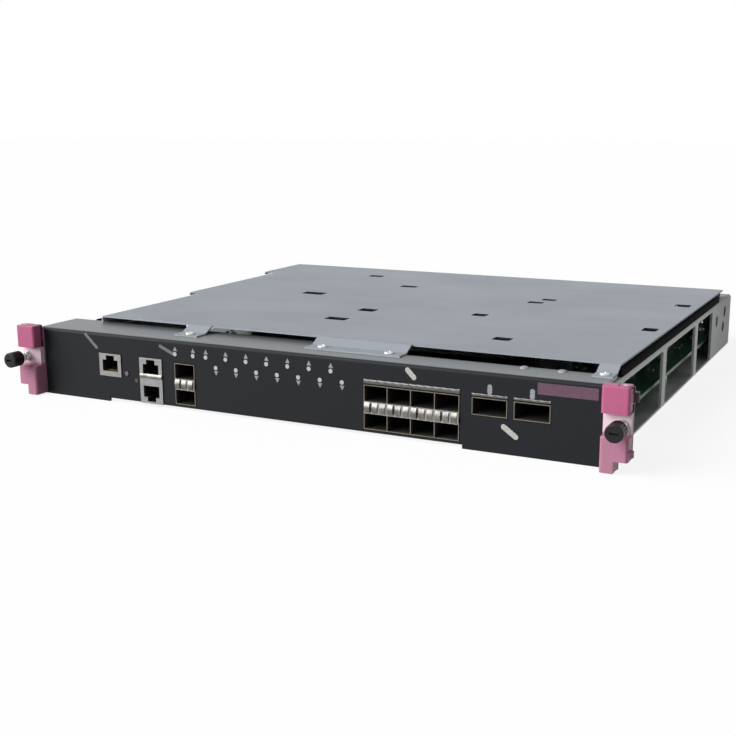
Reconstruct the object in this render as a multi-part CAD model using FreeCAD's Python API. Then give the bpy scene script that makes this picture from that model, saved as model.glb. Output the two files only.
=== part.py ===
import FreeCAD
import Part
import math
import os

from FreeCAD import Vector

# Control processor module for a network chassis: a slide-in blade with a port panel, a folded tray
# and cover round one circuit board, ejector levers and spring-loaded captive screws at both ends.
# Millimetres. +X runs along the panel to the right, +Y into the chassis, +Z up. The origin is the
# middle of the footprint, level with the underside of the tray.

# Overall sizes
WIDTH = 401.6                 # over the guide nibs of the two end blocks
DEPTH = 382.5                 # from the faces of the thumb knobs to the noses of the guide sockets
PANEL_HEIGHT = 43.6           # port panel, from its end lips to its top flange
COVER_RISE = 4.6              # top of the cover above the panel's top flange
KNOB_REACH = 22.0             # face of a thumb knob in front of the panel
CONNECTOR_REACH = 5.5         # guide sockets behind the tray
COVER_SHORT = 36.0            # rear edge of the cover in front of the tray's

# Sheet metal
PANEL_SHEET = 1.5
TRAY_SHEET = 1.6
COVER_SHEET = 1.0
BRACKET_SHEET = 1.2
BEND = 0.8                    # inside radius of every fold
SEAT_GAP = 0.3                # clearance between pieces that move past or stand beside each other

# Body behind the panel: it stands nearer to the right end than to the left one
RIGHT_SETBACK = 16.8
LEFT_SETBACK = 26.8

# Tray
TRAY_FRONT = 9.0              # front edge of the floor behind the panel's face
RAIL_DROP = 4.0               # top of the side walls below the panel's top flange
RAIL_WIDTH = 8.0              # inward flange on top of each side wall
WINDOW_SILL = 2.6
RAIL_WEB = 2.6                # wall left above the windows
WINDOW_CORNER = 3.0
POST_WIDTH = 9.0
POST_PLACES = (16.0, 132.0, 226.0, 286.0)   # wall posts behind the panel's face
LEFT_CLOSED = 1               # bays without a window at the front of the left wall
WALL_HOLES = ((55.0, 27.0), (28.0, 19.0), (24.0, 30.0))   # in front of the tray's rear edge, height
WALL_HOLE_RADIUS = 4.0
REAR_UPSTAND = 11.0           # turned-up rear edge of the floor
REAR_RETURN = 19.0            # rear ends of the side walls, turned inwards

# Cover
COVER_FRONT = 29.0            # front edge behind the panel's face
COVER_HEM = 2.0
LEFT_HEM = 7.5                # deeper hem of the front stretch of the left edge
REAR_FOOT = 12.0              # rear flange's foot on the bridge
LEFT_INSET = 13.0             # left edge inside the tray's side, at the front
LEFT_STEPS = ((140.0, 3.0), (262.0, -8.0))   # later stretches of the left edge: start, inset
TAB_LAP = 9.0                 # how far a tab lies on the panel's flange
TAB_SLOPE = 7.0               # length of a tab's joggle
TABS = ((-90.0, -73.0), (3.0, 64.0))
CORNER_TAB = 11.0
# Cable and service slots: middle x, distance behind the panel's face, length, width
COVER_SLOTS = (
    (-83.0, 174.0, 17.0, 10.0),
    (-16.0, 86.0, 15.0, 9.0),
    (-13.0, 124.0, 12.0, 10.0),
    (-34.0, 234.0, 13.0, 8.0),
    (-83.0, 276.0, 12.0, 8.0),
    (62.0, 138.0, 10.0, 9.0),
    (104.0, 67.0, 11.0, 9.0),
    (78.0, 202.0, 11.0, 7.0),
    (83.0, 217.0, 10.0, 7.0),
)
# Slots beside the right edge: distance from that edge, then as above
EDGE_SLOTS = (
    (10.0, 133.0, 9.0, 11.0),
    (11.0, 231.0, 10.0, 10.0),
)
SLOT_CORNER = 1.5

# Rear bridge between the tray's side walls
BRIDGE_SHEET = 1.2
BRIDGE_FRONT = 12.0           # bridge in front of the cover's rear edge
BRIDGE_END = 1.5              # bridge inside the tray's sides and rear edge

# Panel
TOP_FLANGE = 21.0
DEEP_FLANGE = 34.0            # the same flange left of the cover's wide tab
BOTTOM_FLANGE = 13.0
FLANGE_LEFT = 11.5            # top flange stops this far from the panel's left end
LIP_LEFT = -133.0             # the panel reaches down over the tray's edge left of this
LIP_RIGHT = 107.0             # and right of this
WINDOW_GAP = 0.4              # clearance round a port in the panel

# Board
BOARD_SHEET = 2.2
BOARD_FRONT = 3.0             # front edge behind the panel's face
BOARD_EDGE = 4.5              # board inside the tray's walls
BOARD_BACK = 4.0              # board inside the tray's rear edge
UNDER_GAP = 0.4               # lowest port above the tray's floor

# Modular jacks
JACK_WIDTH = 17.0
JACK_LENGTH = 21.0
JACK_PLUG = 11.9
JACK_PLUG_HEIGHT = 7.2
JACK_LATCH = 2.8
JACK_LATCH_WIDTH = 6.4
JACK_ROOF = 1.2
JACK_DEPTH = 14.0
JACK_PROUD = 0.6              # front of the shield before the panel
UPPER_JACK_BASE = 3.2
LOWER_BASE = 1.0              # shell under the board before a lower port opens
CONSOLE_X = -131.0
MANAGEMENT_X = -99.5

# Pluggable-module cages
CAGE_WALL = 0.5
CAGE_PROUD = 0.3
SFP_PITCH = 14.25
SFP_HEIGHT = 8.8
SFP_LENGTH = 48.0
UPPER_CAGE_BASE = 3.8
SFP_PAIR_X = -74.2
SFP_BANK_X = 76.5
SFP_BANK_COLUMNS = 4
QSFP_WIDTH = 19.0
QSFP_HEIGHT = 8.8
QSFP_LENGTH = 60.0
QSFP_PLACES = (122.3, 145.8)
HOST_LENGTH = 12.0            # receptacle at the back of each cage
HOST_HEIGHT = 5.6
HOST_SIDE = 0.8
HOST_SLOT = 1.2
FINGER_SHEET = 0.3            # sprung strip on the front of a cage
FINGER_REACH = 0.8
FINGER_PITCH = 3.5625

# Status lights
LIGHT_RADIUS = 1.3
LIGHT_SHOULDER = 0.5
LIGHT_PROUD = 0.35
LIGHT_PITCH = 14.2
LIGHT_COUNT = 7
LIGHT_START = -58.3
UPPER_LIGHTS = 35.0
LOWER_LIGHTS = 29.2
PAIR_LIGHT_SPREAD = 6.6
ALARM_LIGHT = (-111.0, 15.6)

# Reset button
RESET_X = -118.3
RESET_RADIUS = 1.4
RESET_PROUD = 0.6
RESET_COLLAR = 2.2
RESET_TRAVEL = 0.8
SWITCH_SIZE = 6.0
SWITCH_FRONT = 5.0            # switch body behind the panel's face
SWITCH_BORE_DEPTH = 4.0
RUNNING_FIT = 0.06            # radial clearance of a shaft in its hole

# Ends of the panel
EAR_WIDTH = 14.4
EAR_PROUD = 10.0
NIB_REACH = 2.0               # guide nib and claw hook outside the ears
LEVER_FOOT = 31.2
LEVER_TOP = 45.4
LEVER_RIM = 1.8               # full-height front of a lever, before the lugs
LEVER_EDGE = 0.8
LEVER_SWING = 60.0            # degrees
SCOOP_RADIUS = 3.0            # finger scoop behind the lever's free edge
SCOOP_INSET = 3.0
PIN_RADIUS = 1.2
PIN_INSET = 3.6               # pin inside the lever's outer side and back
CLAW_SHEET = 1.8
CLAW_HEIGHT = 5.4
CLAW_REACH = 3.3              # claw behind the panel's face
BLOCK_FOOT = 0.5
BLOCK_STEP = (7.2, 6.4)       # notch under the outer part of an end block: width, height
BLOCK_NIB = (9.0, 12.0)
BLOCK_CLEAR = 0.5             # end block below the thumb knob
WEB_PROUD = 4.6               # end block's web behind the knob, before the panel

# Captive screws
SCREW_HEIGHT = 24.6
SCREW_INSET = 4.3             # screw inside the ear's outer side
KNOB_RADIUS = 4.8
KNOB_LENGTH = 8.5
KNOB_RIBS = 18
KNOB_RIB_RADIUS = 0.4
KNOB_SLOT = 1.2
KNOB_SLOT_DEPTH = 1.5
KNOB_POCKET = 4.7             # hollow behind the knob's head
SHANK_RADIUS = 2.0
SHANK_ROOT = 2.4              # front end of the shank behind the knob's face
SHANK_TIP = 2.6               # end of the shank behind the panel's face, screw drawn back
COLLAR_RADIUS = 3.3
COLLAR_LENGTH = 1.0
FERRULE_RADIUS = 2.6
FERRULE_FLANGE = 2.95
FERRULE_FLANGE_LENGTH = 5.8
FERRULE_TAIL = 1.5            # ferrule behind the panel
SPRING_WIRE = 0.3
SPRING_RADIUS = 2.5
SPRING_TURNS = 5
WIRE_SIDES = 6

# Board parts: middle x and distance behind the panel's face
STANDOFF_MIDDLES = (-22.0, 112.0)
STANDOFF_SIDE = 15.0          # outer columns inside the tray's sides
STANDOFF_FRONT = 70.0         # front row behind the panel's face
STANDOFF_REAR = 36.0          # rear row in front of the tray's rear edge
STANDOFF_FLATS = 6.0
SCREW_RADIUS = 1.5
SCREW_HEAD = 2.8
SCREW_HEAD_HEIGHT = 1.8
SCREW_BITE = 6.0
CHIP_HEIGHT = 3.2
PROCESSOR = (-75.0, 165.0, 36.0)
PROCESSOR_SINK = 70.0
SWITCH = (38.0, 185.0, 46.0)
SWITCH_SINK = 90.0
SINK_BASE = 4.0
SINK_FIN = 1.4
SINK_FIN_PITCH = 5.0
SINK_CLEARANCE = 3.0          # fins below the cover
MEMORY = (-75.0, 247.0)
MEMORY_SIZE = (67.6, 30.0)
MEMORY_SHEET = 1.2
MEMORY_RISE = 4.0
SOCKET_LENGTH = 6.0
CONVERTER = (39.0, 235.0)     # from the body's right side, and behind the panel's face
CONVERTER_SIZE = (37.0, 58.0, 12.0)
COIL_SIZE = (10.0, 8.0)
COIL_ROW = (62.0, 12.0, 4, 182.0)   # first from the body's right side, pitch, number, place
CAN_RADIUS = 4.0
CAN_HEIGHT = 12.0
CAN_ROW = (62.0, 11.0, 4, 162.0)
CELL = (30.0, 100.0)          # from the body's left side, and behind the panel's face
CELL_RADIUS = 10.0
CELL_HEIGHT = 3.2
HOLDER_WALL = 1.5

# Rear connectors
SIGNAL_COUNT = 6
SIGNAL_PITCH = 26.0
SIGNAL_WIDTH = 24.0
SIGNAL_X = -20.0
SIGNAL_HEIGHT = 14.0
SIGNAL_LENGTH = 27.0
SIGNAL_BACK = 4.0             # signal blocks in front of the guide sockets' noses
SIGNAL_WALL = 1.5
SIGNAL_POCKET = 8.0
WAFER_COUNT = 5
WAFER_SHEET = 1.2
POWER_X = 108.0
POWER_WIDTH = 40.0
POWER_BLADES = 8
GUIDE_SIDE = 28.0             # guide sockets inside the body's sides
GUIDE_SIZE = 15.0
GUIDE_LENGTH = 33.0
GUIDE_BORE = 3.5
GUIDE_BORE_DEPTH = 20.0
GUIDE_CHAMFER = 1.2

# Worked-out places
HALF_WIDTH = WIDTH / 2
PANEL_Y = -DEPTH / 2 + KNOB_REACH
PANEL_BACK = PANEL_Y + PANEL_SHEET
REAR_Y = DEPTH / 2
TRAY_BACK = REAR_Y - CONNECTOR_REACH
COVER_BACK = TRAY_BACK - COVER_SHORT
BODY_RIGHT = HALF_WIDTH - RIGHT_SETBACK
BODY_LEFT = -HALF_WIDTH + LEFT_SETBACK
COVER_TOP = PANEL_HEIGHT + COVER_RISE
RAIL_TOP = PANEL_HEIGHT - RAIL_DROP
BRIDGE_TOP = RAIL_TOP + BRIDGE_SHEET
LOWER_STACK = LOWER_BASE + max(JACK_PLUG_HEIGHT + JACK_LATCH + JACK_ROOF, SFP_HEIGHT + CAGE_WALL)
BOARD_Z = TRAY_SHEET + UNDER_GAP + LOWER_STACK
BOARD_TOP = BOARD_Z + BOARD_SHEET
EAR_OUT = HALF_WIDTH - NIB_REACH
EAR_IN = EAR_OUT - EAR_WIDTH
PANEL_HALF = EAR_OUT - SEAT_GAP
EAR_FRONT = PANEL_Y - EAR_PROUD
BRACKET_FRONT = PANEL_Y - BRACKET_SHEET
LEVER_BACK = BRACKET_FRONT - SEAT_GAP
PIN_X = EAR_OUT - PIN_INSET
PIN_Y = LEVER_BACK - PIN_INSET
LUG_RADIUS = PIN_Y - EAR_FRONT - LEVER_RIM - SEAT_GAP
LUG_ROOM = BRACKET_SHEET + 2 * SEAT_GAP
CLAW_TOP = (LEVER_FOOT + LEVER_TOP + CLAW_HEIGHT) / 2
CLAW_FOOT = CLAW_TOP - CLAW_HEIGHT
CLAW_BACK = PANEL_Y + CLAW_REACH
SCREW_X = EAR_OUT - SCREW_INSET
BLOCK_TOP = SCREW_HEIGHT - KNOB_RADIUS - BLOCK_CLEAR
KNOB_FACE = PANEL_Y - KNOB_REACH
KNOB_BACK = KNOB_FACE + KNOB_LENGTH
COLLAR_FRONT = KNOB_BACK - KNOB_POCKET
COLLAR_BACK = COLLAR_FRONT + COLLAR_LENGTH
FERRULE_FACE = BRACKET_FRONT - FERRULE_FLANGE_LENGTH
RESET_Z = BOARD_TOP + SWITCH_SIZE / 2


def box(x0, x1, y0, y1, z0, z1):
    """Block between two corners."""
    return Part.makeBox(x1 - x0, y1 - y0, z1 - z0, Vector(x0, y0, z0))


def rod_y(x, z, radius, y0, y1):
    """Round bar along Y."""
    return Part.makeCylinder(radius, y1 - y0, Vector(x, y0, z), Vector(0, 1, 0))


def rod_z(x, y, radius, z0, z1):
    """Round bar along Z."""
    return Part.makeCylinder(radius, z1 - z0, Vector(x, y, z0), Vector(0, 0, 1))


def fused(shapes):
    """One clean solid from pieces that meet."""
    shapes = list(shapes)
    return shapes[0].multiFuse(shapes[1:]).removeSplitter()


def left_of(shape):
    """Left-hand twin of a right-hand piece."""
    return shape.mirror(Vector(0, 0, 0), Vector(1, 0, 0))


def folded(points, sheet, place, run):
    """Bent sheet: a centre line in the section plane, thickened both ways, with rounded folds.

    place turns section coordinates into a point, and run is the length of the fold as a vector.
    """
    ways = []
    for (u0, v0), (u1, v1) in zip(points, points[1:]):
        length = math.hypot(u1 - u0, v1 - v0)
        ways.append(((u1 - u0) / length, (v1 - v0) / length))
    radius = BEND + sheet / 2

    def side(sign):
        """Edges of one face of the sheet, in order, as lists of two or three section points."""
        half = sign * sheet / 2
        first = (points[0][0] - half * ways[0][1], points[0][1] + half * ways[0][0])
        edges = []
        for corner, before, after in zip(points[1:-1], ways, ways[1:]):
            turn = before[0] * after[1] - before[1] * after[0]
            angle = math.atan2(turn, before[0] * after[0] + before[1] * after[1])
            cut = radius * math.tan(abs(angle) / 2)
            hand = math.copysign(1, angle)
            start = (corner[0] - before[0] * cut, corner[1] - before[1] * cut)
            centre = (start[0] - before[1] * radius * hand, start[1] + before[0] * radius * hand)
            reach = radius - half * hand
            turns = []
            for part in (0, 0.5, 1):
                a = math.atan2(start[1] - centre[1], start[0] - centre[0]) + angle * part
                turns.append((centre[0] + reach * math.cos(a), centre[1] + reach * math.sin(a)))
            edges.append([first, turns[0]])
            edges.append(turns)
            first = turns[2]
        last = (points[-1][0] - half * ways[-1][1], points[-1][1] + half * ways[-1][0])
        edges.append([first, last])
        return edges

    back = [edge[::-1] for edge in side(1)[::-1]]
    outline = side(-1)
    outline = outline + [[outline[-1][-1], back[0][0]]] + back + [[back[-1][-1], outline[0][0]]]
    curves = []
    for edge in outline:
        ends = [place(u, v) for u, v in edge]
        curve = Part.LineSegment(*ends) if len(ends) == 2 else Part.Arc(*ends)
        curves.append(curve.toShape())
    return Part.Face(Part.Wire(curves)).extrude(run)


def along_x(points, sheet, x0, x1):
    """Bent sheet whose folds run along X; points are (y, z)."""
    return folded(points, sheet, lambda u, v: Vector(x0, u, v), Vector(x1 - x0, 0, 0))


def along_y(points, sheet, y0, y1):
    """Bent sheet whose folds run along Y; points are (x, z)."""
    return folded(points, sheet, lambda u, v: Vector(u, y0, v), Vector(0, y1 - y0, 0))


def rounded_slot(x, y, length, width, z0, z1):
    """Upright cutter for a rectangular slot with round corners."""
    block = box(x - length / 2, x + length / 2, y - width / 2, y + width / 2, z0, z1)
    upright = [edge for edge in block.Edges if edge.BoundBox.ZLength > (z1 - z0) / 2]
    return block.makeFillet(SLOT_CORNER, upright)


def port_levels(upper, base, height):
    """Board face, start and end of a port's opening, going away from the board."""
    face = BOARD_TOP if upper else BOARD_Z
    way = 1 if upper else -1
    return face, face + way * base, face + way * (base + height), way


def base_tray():
    """Folded tray: floor, two side walls with air windows between posts, inward top rails, and
    rear ends turned in."""
    half = TRAY_SHEET / 2
    left = BODY_LEFT + half
    right = BODY_RIGHT - half
    rail = RAIL_TOP - half
    front = PANEL_Y + TRAY_FRONT
    section = [(left + RAIL_WIDTH, rail), (left, rail), (left, half),
               (right, half), (right, rail), (right - RAIL_WIDTH, rail)]
    tray = along_y(section, TRAY_SHEET, front, TRAY_BACK)
    upstand = [(TRAY_BACK - REAR_UPSTAND, half), (TRAY_BACK - half, half), (TRAY_BACK - half, REAR_UPSTAND)]
    inset = REAR_RETURN + TRAY_SHEET
    pieces = [tray, along_x(upstand, TRAY_SHEET, BODY_LEFT + inset, BODY_RIGHT - inset)]
    for wall, inner in ((left, left + REAR_RETURN), (right, right - REAR_RETURN)):
        low, high = sorted((wall, inner))
        pieces.append(box(low, high, TRAY_BACK - TRAY_SHEET, TRAY_BACK, half, RAIL_TOP))
    tray = fused(pieces)
    starts = [PANEL_Y + place + POST_WIDTH / 2 for place in POST_PLACES]
    ends = [PANEL_Y + place - POST_WIDTH / 2 for place in POST_PLACES[1:]]
    head = RAIL_TOP - RAIL_WEB
    cutters = []
    for wall, closed in ((BODY_LEFT, LEFT_CLOSED), (BODY_RIGHT, 0)):
        for start, end in list(zip(starts, ends))[closed:]:
            window = box(wall - 2 * TRAY_SHEET, wall + 2 * TRAY_SHEET, start, end, WINDOW_SILL, head)
            corners = [edge for edge in window.Edges if edge.BoundBox.XLength > TRAY_SHEET]
            cutters.append(window.makeFillet(WINDOW_CORNER, corners))
        for inset, z in WALL_HOLES:
            start = Vector(wall - 2 * TRAY_SHEET, TRAY_BACK - inset, z)
            cutters.append(Part.makeCylinder(WALL_HOLE_RADIUS, 4 * TRAY_SHEET, start, Vector(1, 0, 0)))
    for x, y in standoff_places():
        cutters.append(rod_z(x, y, SCREW_RADIUS, -1, TRAY_SHEET + 1))
    return tray.cut(cutters)


def cover_tabs():
    """Left and right limits of the cover's front tabs."""
    return TABS + ((BODY_RIGHT - CORNER_TAB, BODY_RIGHT),)


def top_cover():
    """Folded cover: hemmed and stepped left edge, plain right edge over an open gap, joggled front tabs,
    footed rear flange, slots."""
    half = COVER_SHEET / 2
    level = COVER_TOP - half
    rear = COVER_BACK - COVER_HEM
    steps = ((COVER_FRONT, LEFT_INSET),) + LEFT_STEPS
    ends = [PANEL_Y + start for start, inset in LEFT_STEPS] + [rear]
    hems = (LEFT_HEM,) + (COVER_HEM,) * len(LEFT_STEPS)
    pieces = []
    for (start, inset), end, hem in zip(steps, ends, hems):
        left = BODY_LEFT + half + inset
        section = [(left, level - hem), (left, level), (BODY_RIGHT, level)]
        pieces.append(along_y(section, COVER_SHEET, PANEL_Y + start, end))
    seat = BRIDGE_TOP + half
    flange = [(rear - COVER_HEM, level), (COVER_BACK - half, level), (COVER_BACK - half, seat),
              (COVER_BACK + REAR_FOOT, seat)]
    pieces.append(along_x(flange, COVER_SHEET, BODY_LEFT + COVER_HEM, BODY_RIGHT - COVER_HEM))
    seat = PANEL_HEIGHT + half
    foot = PANEL_Y + TOP_FLANGE
    tab = [(foot - TAB_LAP, seat), (foot, seat), (foot + TAB_SLOPE, level),
           (PANEL_Y + COVER_FRONT + TAB_LAP, level)]
    for x0, x1 in cover_tabs():
        pieces.append(along_x(tab, COVER_SHEET, x0, x1))
    cover = fused(pieces)
    edge_slots = tuple((BODY_RIGHT - slot[0],) + slot[1:] for slot in EDGE_SLOTS)
    over_flange = box(BODY_LEFT, BODY_LEFT + LEFT_INSET + 2 * COVER_SHEET, PANEL_Y + COVER_FRONT - 1,
                      PANEL_Y + DEEP_FLANGE + SEAT_GAP, COVER_TOP - 2 * LEFT_HEM, PANEL_HEIGHT + SEAT_GAP)
    cutters = [over_flange]
    for x, y, length, width in COVER_SLOTS + edge_slots:
        cutters.append(rounded_slot(x, PANEL_Y + y, length, width, COVER_TOP - 3, COVER_TOP + 3))
    for x, y in tab_screw_places() + rear_screw_places():
        cutters.append(rod_z(x, y, SCREW_RADIUS, BRIDGE_TOP - 1, COVER_TOP - COVER_SHEET))
    return cover.cut(cutters)


def tab_screw_places():
    """Screws through the cover's front tabs: one on a narrow tab, one near each end of a wide one."""
    y = PANEL_Y + TOP_FLANGE - TAB_LAP / 2
    places = []
    for x0, x1 in cover_tabs():
        if x1 - x0 > 4 * TAB_LAP:
            places += [(x0 + TAB_LAP, y), (x1 - TAB_LAP, y)]
        else:
            places.append(((x0 + x1) / 2, y))
    return places


def rear_screw_places():
    """Screws through the foot of the cover's rear flange into the bridge."""
    y = COVER_BACK + REAR_FOOT / 2
    columns = (BODY_LEFT + STANDOFF_SIDE, (BODY_LEFT + BODY_RIGHT) / 2, BODY_RIGHT - STANDOFF_SIDE)
    return [(x, y) for x in columns]


def rear_bridge():
    """Folded strip across the rear, lying on both top rails, its rear edge turned down over the
    connectors."""
    half = BRIDGE_SHEET / 2
    level = BRIDGE_TOP - half
    rear = TRAY_BACK - TRAY_SHEET - BRIDGE_END - half
    start = COVER_BACK - BRIDGE_FRONT
    low = BOARD_TOP + GUIDE_SIZE + 2 * SEAT_GAP
    inset = TRAY_SHEET + RAIL_WIDTH + BRIDGE_END
    fold = [(start, level), (rear, level), (rear, low)]
    bridge = fused([
        box(BODY_LEFT + BRIDGE_END, BODY_RIGHT - BRIDGE_END, start, rear - RAIL_WIDTH, RAIL_TOP, BRIDGE_TOP),
        along_x(fold, BRIDGE_SHEET, BODY_LEFT + inset, BODY_RIGHT - inset),
    ])
    holes = []
    for x, y in rear_screw_places():
        holes.append(rod_z(x, y, SCREW_RADIUS, RAIL_TOP - 1, BRIDGE_TOP + 1))
    return bridge.cut(holes)


def port_windows():
    """Port openings in the panel: x limits and z limits, each a port's outline plus its clearance."""
    jack_top = port_levels(True, UPPER_JACK_BASE, JACK_PLUG_HEIGHT + JACK_LATCH)[2] + JACK_ROOF
    cage_top = port_levels(True, UPPER_CAGE_BASE, SFP_HEIGHT)[2] + CAGE_WALL
    cage_foot = port_levels(False, LOWER_BASE, SFP_HEIGHT)[2] - CAGE_WALL
    qsfp_foot, qsfp_top = port_levels(True, UPPER_CAGE_BASE, QSFP_HEIGHT)[1:3]
    jack = JACK_WIDTH / 2 + WINDOW_GAP
    yield CONSOLE_X - jack, CONSOLE_X + jack, BOARD_TOP - WINDOW_GAP, jack_top + WINDOW_GAP
    yield MANAGEMENT_X - jack, MANAGEMENT_X + jack, 0, jack_top + WINDOW_GAP
    for x, columns in ((SFP_PAIR_X, 1), (SFP_BANK_X, SFP_BANK_COLUMNS)):
        reach = (columns * SFP_PITCH + CAGE_WALL) / 2 + WINDOW_GAP
        yield x - reach, x + reach, cage_foot - WINDOW_GAP, cage_top + WINDOW_GAP
    reach = QSFP_WIDTH / 2 + CAGE_WALL + WINDOW_GAP
    edge = CAGE_WALL + WINDOW_GAP
    for x in QSFP_PLACES:
        yield x - reach, x + reach, qsfp_foot - edge, qsfp_top + edge


def light_places():
    """Status lights: two staggered rows, two over the port pair, and the alarm light."""
    for k in range(LIGHT_COUNT):
        yield LIGHT_START + k * LIGHT_PITCH, UPPER_LIGHTS
        yield LIGHT_START + (k + 0.5) * LIGHT_PITCH, LOWER_LIGHTS
    for way in (-1, 1):
        yield SFP_PAIR_X + way * PAIR_LIGHT_SPREAD, UPPER_LIGHTS
    yield ALARM_LIGHT


def faceplate():
    """Port panel: one folded sheet with a deep top flange, a foot flange between its end lips,
    and an opening for every port, light, button and screw."""
    half = PANEL_SHEET / 2
    face = PANEL_Y + half
    top = PANEL_HEIGHT - half
    foot = TRAY_SHEET + half
    crown = [(face, top), (PANEL_Y + TOP_FLANGE, top)]
    deep_crown = [(face, top), (PANEL_Y + DEEP_FLANGE, top)]
    foot_flange = [(PANEL_Y + BOTTOM_FLANGE, foot), (face, foot)]
    lip = [(face, 0.0)]
    flange_left = -PANEL_HALF + FLANGE_LEFT
    deep_end = TABS[-1][0]
    panel = fused([
        along_x(lip + deep_crown, PANEL_SHEET, flange_left, LIP_LEFT),
        along_x(foot_flange + deep_crown, PANEL_SHEET, LIP_LEFT, deep_end),
        along_x(foot_flange + crown, PANEL_SHEET, deep_end, LIP_RIGHT),
        along_x(lip + crown, PANEL_SHEET, LIP_RIGHT, BODY_RIGHT),
        box(-PANEL_HALF, flange_left, PANEL_Y, PANEL_BACK, 0, PANEL_HEIGHT),
        box(BODY_RIGHT, PANEL_HALF, PANEL_Y, PANEL_BACK, 0, PANEL_HEIGHT),
    ])
    deep = PANEL_Y + BOTTOM_FLANGE + 1
    cutters = []
    for x0, x1, z0, z1 in port_windows():
        cutters.append(box(x0, x1, PANEL_Y - 1, deep, z0, z1))
    for x, z in light_places():
        cutters.append(rod_y(x, z, LIGHT_RADIUS, PANEL_Y - 1, PANEL_BACK + 1))
    cutters.append(rod_y(RESET_X, RESET_Z, RESET_RADIUS + SEAT_GAP, PANEL_Y - 1, PANEL_BACK + 1))
    for x in (-SCREW_X, SCREW_X):
        cutters.append(rod_y(x, SCREW_HEIGHT, FERRULE_RADIUS, PANEL_Y - 1, PANEL_BACK + 1))
    for notch in (claw_notch(), corner_notch()):
        cutters += [notch, left_of(notch)]
    for x, y in tab_screw_places():
        cutters.append(rod_z(x, y, SCREW_RADIUS, PANEL_HEIGHT - 2 * PANEL_SHEET, PANEL_HEIGHT + 1))
    return panel.cut(cutters)


def claw_notch():
    """Room for the right lever's claw in the panel's end and its bracket, through the whole swing."""
    swing = math.radians(LEVER_SWING)
    reach = CLAW_BACK - PIN_Y
    inner = reach * math.sin(swing) - (PIN_INSET - CLAW_SHEET) * math.cos(swing) + SEAT_GAP
    low, high = CLAW_FOOT - SEAT_GAP, CLAW_TOP + SEAT_GAP
    return box(PIN_X - inner, EAR_OUT + 1, BRACKET_FRONT - 1, PANEL_BACK + 1, low, high)


def corner_notch():
    """Step below the outer part of the right end block, through its bracket and the panel's corner."""
    width, height = BLOCK_STEP
    return box(EAR_OUT - width, EAR_OUT + 1, EAR_FRONT - 1, PANEL_BACK + 1, -1, BLOCK_FOOT + height)


def ear_bracket():
    """Right ear bracket: a plate on the panel's face with two lugs folded forward for the lever's pin,
    each rounded about the pin."""
    half = BRACKET_SHEET / 2
    plate = BRACKET_FRONT + half
    tip = PIN_Y - LUG_RADIUS
    lug_in, lug_out = PIN_X - LUG_RADIUS, PIN_X + LUG_RADIUS
    high, low = LEVER_TOP - half, LEVER_FOOT + half
    lugs = along_x([(tip, high), (plate, high), (plate, low), (tip, low)], BRACKET_SHEET, lug_in, lug_out)
    noses = fused([
        rod_z(PIN_X, PIN_Y, LUG_RADIUS, LEVER_FOOT - 1, LEVER_TOP + 1),
        box(lug_in, lug_out, PIN_Y, PANEL_Y, LEVER_FOOT - 1, LEVER_TOP + 1),
    ])
    crown = LEVER_TOP - BEND - BRACKET_SHEET
    bracket = fused([
        lugs.common(noses),
        box(EAR_IN, lug_in, BRACKET_FRONT, PANEL_Y, BLOCK_FOOT, crown),
        box(lug_in, PANEL_HALF, BRACKET_FRONT, PANEL_Y, BLOCK_FOOT, low - BEND),
    ])
    hole = rod_z(PIN_X, PIN_Y, PIN_RADIUS, 0, LEVER_TOP + 1)
    seat = rod_y(SCREW_X, SCREW_HEIGHT, FERRULE_RADIUS, BRACKET_FRONT - 1, PANEL_Y + 1)
    return bracket.cut([claw_notch(), corner_notch(), hole, seat])


def ear_outline(back, corner, z):
    """Plan of an end moulding: square inside, rounded in front, rear outer corner as given."""
    front = EAR_FRONT
    soft = 2 * LEVER_EDGE
    turn = math.sqrt(0.5)
    points = {
        "in_back": Vector(EAR_IN, back, z),
        "in_front": Vector(EAR_IN, front + soft, z),
        "front_in": Vector(EAR_IN + soft, front, z),
        "front_out": Vector(EAR_OUT - soft, front, z),
        "out_front": Vector(EAR_OUT, front + soft, z),
        "out_back": Vector(EAR_OUT, back - corner, z),
        "back_out": Vector(EAR_OUT - corner, back, z),
    }
    inner = Vector(EAR_IN + soft * (1 - turn), front + soft * (1 - turn), z)
    outer = Vector(EAR_OUT - soft * (1 - turn), front + soft * (1 - turn), z)
    rear = Vector(EAR_OUT - corner * (1 - turn), back - corner * (1 - turn), z)
    curves = [
        Part.LineSegment(points["in_back"], points["in_front"]),
        Part.Arc(points["in_front"], inner, points["front_in"]),
        Part.LineSegment(points["front_in"], points["front_out"]),
        Part.Arc(points["front_out"], outer, points["out_front"]),
        Part.LineSegment(points["out_front"], points["out_back"]),
        Part.Arc(points["out_back"], rear, points["back_out"]),
        Part.LineSegment(points["back_out"], points["in_back"]),
    ]
    return Part.Face(Part.Wire([curve.toShape() for curve in curves]))


def level_edges(shape, z):
    """Edges of a shape that lie at one height."""
    return [edge for edge in shape.Edges
            if abs(edge.BoundBox.ZMin - z) < 0.01 and abs(edge.BoundBox.ZMax - z) < 0.01]


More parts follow.
